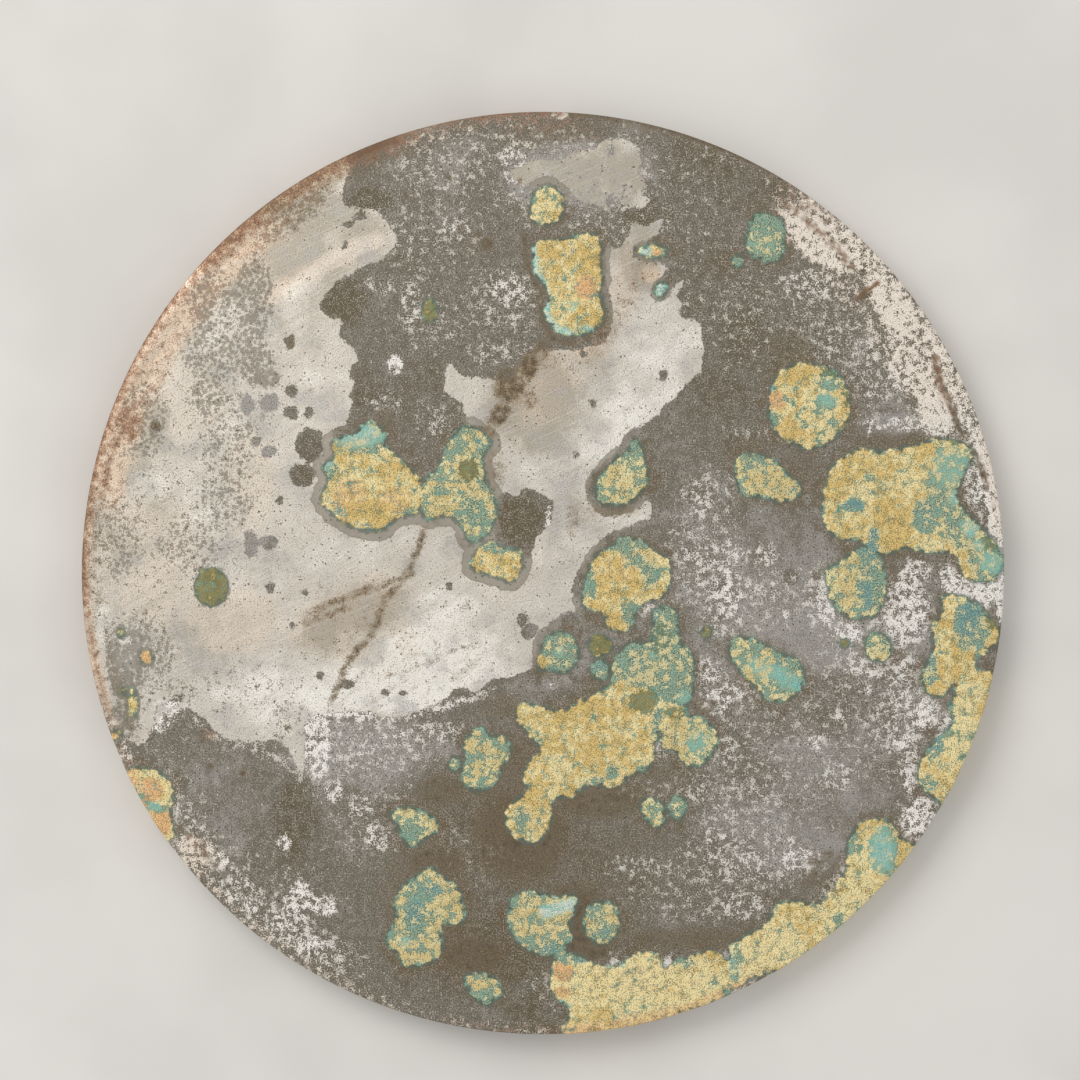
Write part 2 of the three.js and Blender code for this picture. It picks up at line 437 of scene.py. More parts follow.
# Where glows of one trace overlap, the strongest counts
GLOWS: dict[Trace, tuple[Spot | Streak | RimBand, ...]] = {
    Trace.VERDIGRIS: (
        Spot(362, 442, 27, 14), Spot(330, 468, 9, 14), Spot(392, 528, 12, 6, 0.6),
        Spot(484, 446, 10, 16, 0.8), Spot(474, 512, 16, 20, 0.8), Spot(432, 498, 8, 12, 0.5),
        Spot(498, 548, 18, 6, 0.6), Spot(470, 765, 9, 20, 0.6), Spot(492, 740, 12, 8, 0.6),
        Spot(588, 582, 9, 18, 0.9), Spot(632, 614, 12, 12), Spot(652, 548, 10, 8, 0.5),
        Spot(600, 472, 8, 24, 0.75), Spot(634, 446, 8, 9, 0.8), Spot(545, 204, 20, 18, 0.35),
        Spot(585, 331, 16, 6, 0.8), Spot(784, 676, 22, 22, 0.85), Spot(830, 380, 16, 14, 0.75),
        Spot(826, 402, 14, 10, 0.9), Spot(770, 420, 9, 12, 0.85), Spot(802, 425, 7, 6, 0.7),
        Spot(785, 400, 6, 5, 0.7), Spot(832, 424, 7, 7, 0.65), Spot(792, 390, 9, 6, 0.5),
        Spot(756, 466, 16, 11, 0.7), Spot(790, 492, 9, 8, 0.7), Spot(950, 484, 30, 52, 0.72),
        Spot(620, 545, 30, 9, 0.8), Spot(650, 574, 12, 20, 0.7), Spot(638, 560, 18, 12, 0.6),
        Spot(528, 822, 20, 22, 0.45), Spot(484, 470, 14, 26, 0.9), Spot(460, 500, 26, 20, 0.5),
        Spot(965, 530, 26, 26, 0.76), Spot(985, 560, 22, 24, 0.8), Spot(925, 515, 18, 22, 0.75),
        Spot(852, 505, 13, 7), Spot(874, 534, 7, 7), Spot(868, 478, 10, 6, 0.6), Spot(886, 488, 6, 9, 0.5),
        Spot(868, 552, 14, 12), Spot(868, 585, 16, 32, 0.95), Spot(885, 645, 6, 12, 0.9),
        Spot(972, 625, 22, 30), Spot(930, 668, 9, 22, 0.8), Spot(948, 715, 8, 22, 0.7),
        Spot(934, 745, 10, 18, 0.7), Spot(930, 785, 10, 12, 0.7), Spot(884, 850, 16, 30),
        Spot(852, 845, 9, 14, 0.6), Spot(735, 965, 9, 20, 0.8), Spot(685, 962, 14, 7, 0.7),
        Spot(575, 958, 18, 8, 0.8), Spot(838, 918, 7, 9, 0.7), Spot(713, 984, 8, 6, 0.6),
        Spot(415, 918, 14, 26), Spot(426, 890, 22, 8, 0.85), Spot(436, 913, 12, 6, 0.7),
        Spot(412, 831, 15, 9, 0.9), Spot(548, 947, 20, 9, 0.8), Spot(512, 918, 6, 20, 0.6),
        Spot(604, 932, 17, 9, 0.8), Spot(600, 913, 6, 6, 0.7), Spot(486, 998, 14, 6, 0.8),
        Spot(678, 812, 8, 8, 0.7), Spot(612, 770, 9, 8, 0.9), Spot(598, 779, 7, 6, 0.7),
        Spot(643, 770, 8, 7, 0.8), Spot(537, 742, 7, 6, 0.8), Spot(640, 664, 12, 10, 0.8),
        Spot(520, 815, 12, 10, 0.7), Spot(158, 808, 12, 5, 0.8), Spot(140, 790, 6, 14, 0.5),
        Spot(697, 740, 14, 15, 0.8), Streak(((658, 712), (654, 726), (655, 738)), 6),
        Spot(640, 812, 6, 10, 0.4),
    ),
    Trace.CYAN: (
        Spot(362, 436, 27, 14, 1.1, 10), Spot(328, 462, 8, 12, 1.0), Spot(560, 650, 5, 5),
        Spot(682, 696, 6, 6, 0.8), Spot(652, 655, 5, 5, 0.6), Spot(697, 740, 13, 13, 0.7),
        Spot(588, 328, 7, 5), Spot(826, 400, 11, 9, 0.8), Spot(828, 382, 5, 5, 0.5),
        Spot(950, 468, 22, 24, 0.6), Spot(956, 497, 10, 9, 1.0), Spot(970, 528, 10, 10, 1.1),
        Spot(990, 562, 14, 12, 0.85), Spot(978, 545, 8, 8, 0.9), Spot(882, 850, 14, 24, 1.1),
        # The heavy streak on the south crust's top paints a white highlight there as chalk.
        Spot(880, 829, 7, 6, 0.9), Streak(((545, 911), (556, 908), (572, 903)), 10, 1.9),
        Spot(405, 942, 6, 6, 0.9), Spot(564, 1003, 8, 5, 0.9), Spot(612, 965, 16, 5, 0.7),
        Spot(732, 965, 6, 16, 0.5), Spot(155, 806, 8, 5, 0.8), Spot(572, 306, 7, 6, 0.9),
        Spot(762, 245, 14, 14, 0.35), Spot(646, 252, 6, 5, 2.0), Spot(661, 290, 5, 7, 2.2, -20),
        Streak(((534, 246), (536, 272), (546, 290), (547, 316), (557, 329), (572, 334)), 5, 1.7),
        Spot(477, 1000, 8, 4, 0.5), Streak(((756, 666), (776, 672), (796, 684)), 13, 0.9),
        Spot(338, 455, 8, 5, 0.5),
    ),
    Trace.BLUE: (
        Spot(588, 330, 12, 4, 0.9), Streak(((330, 500), (345, 518), (362, 526), (385, 528)), 5, 0.7),
        Spot(480, 444, 6, 6), Spot(645, 612, 14, 12, 0.9), Spot(640, 663, 6, 6), Spot(573, 251, 4, 4),
        Spot(770, 664, 18, 5), Spot(852, 504, 12, 6), Spot(874, 534, 6, 6), Spot(870, 550, 10, 10, 0.9),
        Spot(866, 590, 10, 22, 0.8), Spot(970, 622, 14, 26), Spot(928, 664, 6, 20, 0.8),
        Spot(945, 715, 5, 16, 0.7), Spot(936, 742, 7, 12, 0.8), Spot(415, 912, 8, 16),
        Spot(432, 889, 12, 5, 0.8), Spot(579, 960, 9, 6, 0.9), Spot(548, 948, 10, 6, 0.9),
        Spot(768, 388, 6, 7, 0.8), Spot(927, 513, 10, 12, 0.45), Spot(945, 454, 10, 8, 0.5),
        Streak(((657, 714), (654, 728)), 4, 0.9), Spot(600, 669, 10, 10, 0.7), Spot(893, 848, 5, 8, 0.8),
        Spot(604, 930, 8, 6, 0.5), Spot(934, 788, 8, 5, 0.7),
    ),
    Trace.OLIVE: (
        Spot(470, 470, 13, 12), Spot(642, 700, 15, 14, 0.9), Spot(674, 712, 10, 8, 0.7),
        Spot(988, 545, 14, 7, 0.7, -35), Spot(990, 622, 9, 9, 0.9), Spot(832, 372, 18, 7, 0.6),
        Spot(845, 405, 5, 28, 0.5), Spot(955, 442, 14, 5, 0.6), Spot(660, 640, 14, 26, 0.35),
    ),
    Trace.WARMTH: (
        Spot(567, 650, 9, 12), Spot(586, 288, 12, 14, 1.0), Spot(656, 253, 7, 5, 0.7),
        Spot(563, 971, 12, 12, 0.9), Spot(562, 992, 12, 8, 0.7), Spot(776, 401, 12, 10),
        Spot(350, 495, 22, 22, 0.5), Spot(395, 500, 22, 18, 0.45), Spot(150, 790, 16, 14),
        Spot(163, 822, 10, 16), Spot(146, 657, 7, 7), Spot(475, 980, 10, 6, 0.6),
        Spot(620, 570, 22, 18, 0.4), Spot(645, 980, 60, 20, 0.3), Spot(735, 988, 10, 8, 0.5),
        Spot(845, 590, 8, 20, 0.5), Spot(790, 430, 24, 12, 0.4), Spot(650, 275, 12, 10, 0.7),
        Spot(605, 332, 14, 12, 0.5), Spot(590, 350, 24, 14, 0.5), Spot(195, 855, 20, 24, 0.9),
        # The streak over the upper-left polish gives the painted highlight there its warm tint.
        Spot(210, 735, 7, 6, 0.8), Streak(((264, 300), (300, 278), (374, 240)), 16, 0.4),
        Spot(445, 650, 60, 40, 0.15), Spot(500, 560, 60, 60, 0.15), Spot(380, 650, 60, 40, 0.25),
        Spot(215, 850, 18, 22, 0.4), Spot(540, 385, 44, 50, 0.3), Spot(350, 610, 80, 34, 0.3, 25),
        Spot(185, 400, 46, 50, 0.25), Spot(545, 138, 74, 20, 0.32), Spot(622, 285, 18, 44, 0.34),
        Spot(250, 250, 40, 60, 0.3, -40), RimBand(126, 172, 424, 475, 0.8, fringe=14.0),
        # The band from 104 to 128 degrees also warms the painted shade on the rim's edge to burnt brown.
        RimBand(104, 128, 442, 475, 0.65, fringe=12.0), Spot(150, 560, 60, 80, 0.3),
        Spot(230, 620, 60, 40, 0.35), Spot(250, 480, 30, 60, 0.3), RimBand(168, 215, 450, 466, 0.7),
        RimBand(85, 112, 444, 466, 0.7), RimBand(20, 60, 400, 470, 0.6, fringe=14.0),
        RimBand(4, 20, 452, 470, 0.6, fringe=4.0), RimBand(215, 300, 450, 466, 0.6),
    ),
    Trace.RUST: (
        Spot(520, 835, 60, 60, 0.8), Spot(600, 800, 56, 22, 0.75), Spot(475, 955, 40, 24, 0.8),
        Spot(575, 930, 50, 60, 0.85), Spot(690, 938, 80, 14, 0.65), Spot(436, 862, 40, 20, 0.75),
        Spot(515, 840, 18, 12, 0.9), Spot(500, 705, 30, 16, 0.5), Spot(820, 870, 30, 18, 0.6, 40),
        Spot(296, 206, 60, 16, 0.62, 32), Spot(518, 386, 18, 34, 0.6, -35), Spot(350, 625, 60, 26, 0.3, 25),
        Spot(612, 511, 30, 8, 0.6), Spot(572, 520, 8, 20, 0.5), Spot(560, 130, 64, 16, 0.5),
        Spot(487, 244, 8, 8, 0.9), Spot(478, 235, 4, 4, 0.9), Spot(448, 177, 5, 5, 0.85),
        Spot(406, 195, 4, 4, 0.85), Spot(519, 181, 4, 4, 0.9), Spot(516, 212, 4, 4, 0.85),
        Spot(210, 766, 4, 5, 0.9), Spot(243, 773, 4, 4, 0.85), Spot(287, 727, 4, 4, 0.9),
        Spot(310, 391, 4, 4, 0.7), Spot(156, 426, 5, 5, 0.9), Spot(291, 343, 4, 7, 0.95),
        Spot(700, 706, 20, 12, 0.65), Spot(655, 785, 30, 26, 0.5), Spot(790, 345, 26, 18, 0.5),
        Spot(500, 770, 50, 46, 0.6), Spot(770, 440, 46, 10, 0.4), Spot(890, 440, 50, 9, 0.5),
        Spot(385, 425, 14, 22, 0.6), Spot(800, 460, 18, 30, 0.45), Spot(512, 378, 22, 14, 0.7),
        Spot(494, 470, 14, 26, 0.5), Spot(528, 400, 12, 12, 0.7), Spot(470, 240, 26, 20, 0.3),
        Spot(205, 735, 10, 10, 0.6),
        Streak(((545, 346), (530, 372), (514, 395), (501, 414), (488, 432)), 15, 0.72),
        Spot(530, 366, 11, 18, 1.08, -30), Spot(509, 390, 18, 13, 1.08), Spot(500, 414, 11, 15, 1.0, -30),
        Streak(((524, 236), (528, 268), (540, 292), (541, 318), (552, 338), (574, 345)), 6, 0.8),
        Streak(((652, 266), (630, 296), (608, 334), (588, 362)), 14, 0.42),
        # The outermost bands along the top, upper left and left of the rim, weighted above 1, paint the rim's
        # shaded edge in dark brown and solid specks: painted shade laid over real rust.
        RimBand(106, 140, 450, 475, 1.25, fringe=8.0), RimBand(106, 128, 436, 475, 0.6, fringe=8.0),
        RimBand(150, 200, 452, 460, 0.8, fringe=5.0), RimBand(140, 186, 457, 475, 1.25, fringe=5.0),
        RimBand(60, 106, 459, 475, 1.4, fringe=3.0), RimBand(108, 138, 444, 475, 0.95, fringe=12.0),
        Streak(((310, 612), (340, 600), (365, 590), (400, 580), (412, 573)), 7, 0.75),
        Streak(((306, 623), (335, 612), (350, 607)), 6, 0.7),
        Streak(((425, 530), (410, 570), (385, 600), (372, 635), (357, 650), (345, 670), (332, 702)), 7, 0.8),
        Streak(((380, 679), (410, 670), (430, 660), (452, 651), (478, 642)), 4, 0.45),
        Streak(((783, 202), (800, 215), (835, 245), (851, 268)), 7, 0.62),
        Streak(((934, 358), (940, 385), (952, 408), (960, 435)), 6, 0.95),
        Streak(((975, 452), (982, 470), (986, 488)), 5, 0.8),
        Streak(((857, 300), (866, 291), (878, 283)), 4, 1.0),
        Streak(((140, 400), (125, 430), (110, 455), (103, 490), (95, 525), (91, 570)), 6, 0.7),
        Spot(645, 262, 14, 24, 0.45, -20), Spot(560, 364, 36, 10, 0.35), Spot(130, 424, 16, 22, 0.8),
        Spot(112, 500, 14, 60, 0.4), Spot(430, 900, 60, 80, 0.55), Spot(360, 930, 40, 16, 0.3),
        Spot(600, 870, 80, 60, 0.3), Spot(510, 970, 24, 14, 0.5), Spot(440, 790, 30, 20, 0.7),
        Spot(467, 606, 8, 8, 0.4), Spot(395, 627, 5, 5, 0.4), Spot(590, 785, 30, 10, 0.5),
        RimBand(104, 188, 446, 470, 0.62, fringe=10.0), RimBand(118, 158, 418, 446, 0.42, fringe=12.0),
        RimBand(66, 106, 452, 470, 0.6, fringe=9.0), RimBand(172, 228, 434, 446, 0.42),
        RimBand(260, 300, 452, 470, 0.35), RimBand(50, 62, 445, 470, 0.4),
    ),
    Trace.DOTS: (
        Spot(190, 470, 120, 200, 0.46), Spot(254, 300, 26, 62, 0.82), Spot(230, 440, 38, 70, 0.68),
        Spot(215, 350, 44, 44, 0.74), Spot(256, 364, 24, 30, 0.86), Spot(120, 540, 32, 56, 0.68),
        Spot(190, 545, 46, 40, 0.68), Spot(140, 650, 50, 50, 0.72), Spot(210, 300, 30, 40, 0.82),
        Spot(140, 420, 36, 50, 0.78), Spot(208, 398, 26, 26, 0.8), Spot(580, 170, 66, 34, 0.55),
        Spot(262, 405, 26, 24, 0.6), Spot(150, 480, 50, 40, 0.5), Spot(505, 357, 30, 12, 0.75),
        Spot(290, 216, 64, 20, 0.8, 32), Spot(125, 665, 24, 46, 1.0), Spot(240, 690, 80, 40, 0.48),
        Spot(690, 330, 14, 30, 0.45), Spot(300, 560, 60, 60, 0.32), Spot(225, 500, 40, 40, 0.68),
        Spot(290, 720, 30, 30, 0.55), Spot(170, 700, 40, 30, 0.6), Spot(360, 600, 60, 40, 0.3),
        RimBand(115, 180, 420, 470, 0.5, fringe=14.0), RimBand(160, 192, 444, 475, 0.6),
        Spot(600, 195, 50, 24, 0.62), Spot(205, 310, 12, 12, 0.95), Spot(270, 378, 14, 14, 0.95),
        Spot(136, 642, 12, 18, 1.0), Spot(124, 720, 20, 26, 0.9),
    ),
    Trace.BLOOM: (
        Spot(440, 160, 70, 44, 0.55), Spot(430, 230, 70, 60, 0.45), Spot(465, 232, 30, 26, 0.45),
        Spot(505, 300, 50, 40, 0.6), Spot(430, 325, 44, 34, 0.5), Spot(378, 286, 22, 12, 0.6),
        Spot(515, 134, 34, 16, 0.55), Spot(620, 175, 50, 50, 0.5), Spot(540, 190, 60, 40, 0.55),
        Spot(600, 225, 44, 26, 0.5), Spot(665, 320, 24, 24, 0.5), Spot(680, 200, 60, 60, 0.32),
        Spot(750, 300, 90, 90, 0.28), Spot(440, 420, 30, 30, 0.4), Spot(500, 362, 30, 12, 0.5),
        Spot(705, 560, 50, 70, 0.6), Spot(725, 605, 30, 50, 0.68), Spot(815, 238, 56, 24, 1.15, -42),
        Spot(893, 306, 22, 46, 1.15, 34), Spot(908, 372, 26, 34, 0.95, 30), Spot(936, 408, 24, 28, 1.25),
        Spot(396, 365, 10, 12, 1.05), Spot(318, 742, 18, 46, 1.0), Spot(826, 598, 13, 36, 1.05),
        Spot(985, 588, 20, 16, 1.2), Spot(996, 520, 10, 44, 1.1), Spot(715, 702, 22, 16, 0.9),
        Spot(880, 665, 50, 16, 0.85), Spot(545, 140, 66, 18, 0.56), Spot(512, 160, 20, 26, 0.7),
        Spot(850, 632, 20, 12, 0.95), Spot(895, 635, 16, 20, 0.95), Spot(725, 555, 30, 18, 0.75),
        Spot(760, 590, 26, 20, 0.7), Spot(948, 574, 14, 12, 0.9), Spot(530, 176, 34, 14, 0.75),
        Spot(790, 684, 30, 14, 0.5), Spot(928, 712, 16, 22, 1.0), Spot(924, 806, 20, 14, 0.9),
        Spot(190, 852, 20, 24, 0.9), Spot(310, 945, 24, 14, 0.9), Spot(300, 900, 22, 16, 0.9),
        Spot(800, 858, 30, 16, 0.85), Streak(((196, 722), (225, 742), (262, 748), (296, 768)), 12, 0.6),
        Spot(915, 572, 22, 16, 0.85), Spot(893, 630, 18, 22, 0.95), Spot(750, 434, 40, 10, 0.55),
        Spot(715, 490, 36, 26, 0.6), Spot(640, 866, 44, 16, 0.65), Spot(742, 905, 40, 18, 0.7),
        Spot(690, 792, 36, 12, 0.7), Spot(724, 748, 14, 24, 0.75), Spot(727, 592, 20, 34, 0.85),
        Spot(706, 672, 22, 18, 0.8), Spot(434, 732, 40, 14, 0.7), Spot(362, 806, 16, 16, 0.75),
        Spot(1000, 600, 6, 30, 1.2), Spot(905, 424, 60, 10, 0.8), Spot(160, 722, 14, 12, 1.0),
        Spot(412, 305, 14, 34, 0.7), Spot(436, 424, 12, 14, 0.7), Spot(455, 230, 20, 16, 0.72),
        Spot(510, 292, 26, 24, 0.75), Spot(500, 350, 40, 12, 0.6), Spot(815, 285, 50, 20, 0.72),
        Spot(745, 310, 40, 40, 0.5), Spot(872, 350, 26, 16, 0.72), Spot(925, 380, 12, 16, 1.15),
        Spot(982, 452, 8, 26, 1.15), Spot(700, 500, 14, 26, 0.72), Spot(712, 580, 24, 40, 0.72),
        Spot(748, 690, 56, 12, 0.78), Spot(735, 862, 44, 30, 0.68), Spot(345, 712, 44, 8, 0.9),
        Spot(334, 790, 14, 16, 0.8), Spot(380, 838, 20, 16, 0.75), Spot(910, 770, 14, 30, 0.9),
        Spot(235, 890, 24, 20, 0.8), Spot(172, 815, 12, 18, 0.8), Spot(850, 300, 60, 60, 0.5),
        Spot(905, 340, 46, 70, 0.68, 30), Spot(975, 470, 20, 50, 0.85), Spot(870, 640, 60, 50, 0.66),
        Spot(815, 600, 18, 40, 0.68), Spot(904, 612, 32, 44, 0.95), Spot(760, 760, 110, 90, 0.5),
        Spot(860, 710, 100, 90, 0.5), Spot(760, 860, 60, 36, 0.62), Spot(690, 890, 80, 40, 0.5),
        Spot(365, 745, 90, 40, 0.62), Spot(235, 720, 40, 20, 0.5), Spot(410, 745, 50, 24, 0.55),
        Spot(370, 810, 50, 60, 0.4), Spot(180, 800, 40, 60, 0.3), Spot(650, 985, 120, 34, 1.2),
        Spot(780, 948, 90, 30, 0.8, 30), Spot(480, 860, 60, 30, 0.4), Spot(843, 618, 30, 14, 0.7),
        Spot(893, 728, 44, 36, 0.66), Spot(860, 655, 40, 14, 0.55), Spot(745, 815, 54, 60, 0.6),
        Spot(784, 842, 14, 12, 0.75), Spot(838, 776, 22, 18, 0.72), Spot(815, 742, 12, 12, 0.85),
        Spot(838, 714, 10, 8, 0.75), Spot(918, 822, 24, 26, 0.95), Spot(868, 690, 5, 7, 0.9),
        Spot(903, 742, 14, 10, 0.9), Spot(918, 722, 12, 14, 0.85), Spot(330, 760, 44, 48, 0.55),
        Spot(168, 706, 22, 14, 0.95), Spot(124, 640, 14, 8, 0.8), Spot(285, 843, 9, 10, 1.0),
        Spot(300, 888, 14, 10, 0.95), Spot(325, 906, 16, 13, 0.95), Spot(248, 905, 14, 18, 0.8),
        Spot(292, 926, 30, 24, 0.72), Spot(300, 945, 60, 24, 0.66), Spot(270, 905, 70, 44, 0.45),
        Spot(375, 832, 14, 14, 0.75), Spot(455, 838, 20, 14, 0.5), Spot(640, 868, 44, 14, 0.5),
        Spot(712, 836, 20, 8, 0.75), Spot(690, 850, 14, 10, 0.6), Spot(960, 570, 14, 60, 0.6),
        Spot(985, 500, 14, 40, 0.7), Spot(940, 470, 60, 20, 0.3), Spot(980, 600, 20, 14, 0.9),
        Spot(862, 390, 50, 44, 0.45), Spot(560, 115, 10, 5, 1.0), Spot(840, 330, 70, 50, 0.58),
        Spot(385, 405, 22, 16, 0.62), Spot(870, 370, 40, 50, 0.64), Spot(770, 600, 60, 40, 0.55),
        Spot(935, 428, 16, 10, 1.1), Spot(549, 520, 5, 18, 0.85), Spot(905, 700, 30, 60, 0.74),
        Spot(960, 585, 24, 14, 1.1), Spot(770, 865, 90, 24, 0.64), Spot(650, 790, 40, 14, 0.62),
        Spot(220, 862, 14, 12, 0.95), Spot(290, 920, 24, 18, 0.85), Spot(205, 855, 20, 16, 0.8),
        Spot(690, 495, 16, 14, 0.6), Spot(745, 556, 14, 10, 0.6), Spot(784, 615, 5, 8, 0.8),
        Spot(240, 860, 44, 30, 0.3), Spot(690, 700, 24, 20, 0.5), Spot(955, 745, 26, 50, 1.0),
        Spot(740, 965, 90, 22, 1.1, 20), Spot(850, 890, 44, 30, 0.9, 45), Spot(700, 556, 34, 14, 0.75),
        Spot(765, 556, 18, 14, 0.75), Spot(650, 605, 24, 14, 0.8), Spot(665, 742, 24, 16, 0.9),
        Spot(628, 474, 14, 20, 0.8), Streak(((330, 717), (400, 717), (440, 708), (490, 692)), 9, 0.8),
        Streak(((385, 737), (410, 732)), 5, 0.9), Streak(((360, 755), (376, 746)), 5, 0.8),
        Streak(((304, 700), (304, 768)), 5, 0.9), Streak(((322, 712), (322, 775)), 5, 0.75),
        Streak(((341, 714), (341, 772)), 4, 0.7), Streak(((356, 712), (356, 758)), 4, 0.6),
        Streak(((225, 270), (232, 279)), 4, 0.9), Streak(((555, 690), (549, 682)), 4, 0.9),
        Streak(((866, 440), (870, 428)), 3, 0.9), RimBand(36, 58, 430, 470, 0.95, fringe=12.0),
        RimBand(16, 38, 408, 470, 0.95, fringe=14.0), RimBand(-4, 20, 446, 475, 1.15),
        RimBand(62, 82, 440, 470, 0.4), RimBand(170, 215, 448, 470, 0.85),
        RimBand(205, 246, 415, 470, 0.66, fringe=16.0), RimBand(240, 285, 452, 470, 0.5),
    ),
}

# Tone and sheen are sums, so that pale and dark areas can lie over each other
TONES: tuple[Spot | Patch, ...] = (
    Patch(Outline(((297, 764), (270, 812), (241, 862), (285, 876), (332, 866), (318, 802))), -0.3),
    Spot(500, 790, 60, 50, -0.3), Spot(710, 395, 40, 30, -0.3), Spot(555, 680, 16, 10, 0.8),
    Spot(850, 620, 130, 60, 0.3), Spot(870, 370, 40, 50, 0.2), Spot(790, 850, 90, 40, 0.2),
    Spot(575, 178, 80, 40, 0.8), Spot(640, 150, 40, 40, 0.3), Spot(745, 600, 130, 120, 0.45),
    Spot(860, 700, 110, 100, 0.35), Spot(240, 800, 110, 70, 0.3), Spot(360, 800, 60, 80, 0.2),
    Spot(370, 745, 90, 40, 0.6), Spot(800, 810, 110, 70, 0.45), Spot(560, 1010, 60, 20, -0.5),
    Spot(470, 960, 110, 50, -0.4), Spot(740, 180, 60, 40, -0.3), Spot(520, 700, 40, 24, 0.3),
    Spot(430, 160, 60, 40, 0.3), Spot(935, 706, 20, 18, 0.8), Spot(130, 650, 34, 34, 0.4),
    Spot(445, 290, 90, 80, -0.1), Spot(430, 400, 60, 40, -0.3), Spot(370, 200, 24, 16, -0.8),
    Spot(720, 300, 50, 70, -0.35), Spot(740, 410, 60, 60, -0.2), Spot(640, 210, 20, 30, -0.6),
    Spot(530, 870, 110, 80, -0.45), Spot(780, 345, 60, 30, -0.4), Spot(295, 815, 26, 40, -0.75),
    Spot(789, 577, 8, 8, -1.0), Spot(871, 357, 6, 6, -0.9), Spot(858, 252, 8, 9, -0.7),
    Spot(865, 268, 5, 5, -0.9), Spot(868, 292, 16, 5, -0.9, 38), Spot(568, 622, 7, 7, -0.6),
    Spot(830, 700, 40, 34, -0.35), Spot(690, 440, 40, 50, 0.2), Spot(520, 520, 26, 30, -0.9),
    Spot(310, 460, 16, 34, -0.6), Spot(365, 388, 16, 28, -0.5), Spot(270, 270, 16, 16, -0.3),
    Spot(250, 590, 60, 60, 0.2), Spot(700, 170, 50, 40, -0.25), Spot(620, 430, 30, 30, 0.3),
    Spot(259, 405, 26, 18, 1.0), Spot(260, 544, 22, 20, 0.6), Spot(266, 448, 20, 14, 0.5),
    Spot(345, 300, 28, 26, -0.8), Spot(575, 635, 50, 40, 0.6), Spot(900, 425, 60, 14, 0.6),
    Spot(510, 965, 40, 20, -0.4), Spot(640, 952, 50, 14, -0.5), Spot(985, 612, 16, 40, 0.5),
)

SHEENS: tuple[Spot | Streak | RimBand, ...] = (
    # The streak over the upper-left polish is a painted highlight, the reflection of a light; the other
    # sheens are dim and bright polish.
    Spot(300, 235, 100, 60, -0.7), Streak(((290, 292), (330, 262), (374, 240)), 13, 1.1),
    Spot(425, 662, 90, 44, 1.0), Spot(290, 690, 90, 40, 0.6), Spot(330, 370, 30, 60, 0.1),
    Spot(575, 178, 90, 40, -1.0), Spot(935, 410, 30, 30, 0.7), Spot(470, 600, 90, 40, 0.15),
    Spot(650, 400, 60, 60, 0.4), Spot(660, 340, 40, 36, 0.35), Spot(525, 395, 44, 54, -0.8),
    Spot(350, 625, 70, 34, -0.75, 30), Spot(180, 640, 80, 60, -0.2), Spot(250, 330, 60, 100, -0.2),
    Spot(130, 480, 50, 90, -0.3), Spot(585, 510, 16, 14, -0.6), Spot(600, 440, 56, 26, 0.4, 40),
    Spot(380, 698, 80, 18, 0.7), Spot(565, 372, 60, 30, -0.55), Spot(560, 430, 50, 30, -0.5),
    Spot(335, 320, 34, 70, -0.35), Spot(365, 228, 30, 20, -0.3), Spot(640, 255, 24, 40, -0.9),
    Spot(385, 610, 50, 24, -0.4), Spot(600, 445, 30, 18, 0.5), Spot(365, 655, 20, 14, -0.5),
    # Spot(300, 186) dims the polish on the rim's upper-left edge: painted shade there.
    Spot(440, 608, 50, 16, 0.5), Spot(590, 240, 30, 14, -0.8), Spot(300, 186, 50, 16, -0.7, 32),
    Spot(104, 625, 10, 24, 0.8), Spot(420, 700, 80, 10, 0.6), Spot(575, 178, 90, 20, -0.3),
    Spot(315, 220, 40, 20, -0.4), Spot(270, 378, 16, 16, -0.4), Spot(522, 430, 30, 34, -0.4),
    Spot(135, 420, 34, 50, -0.6), Spot(150, 487, 20, 16, 0.6),
)


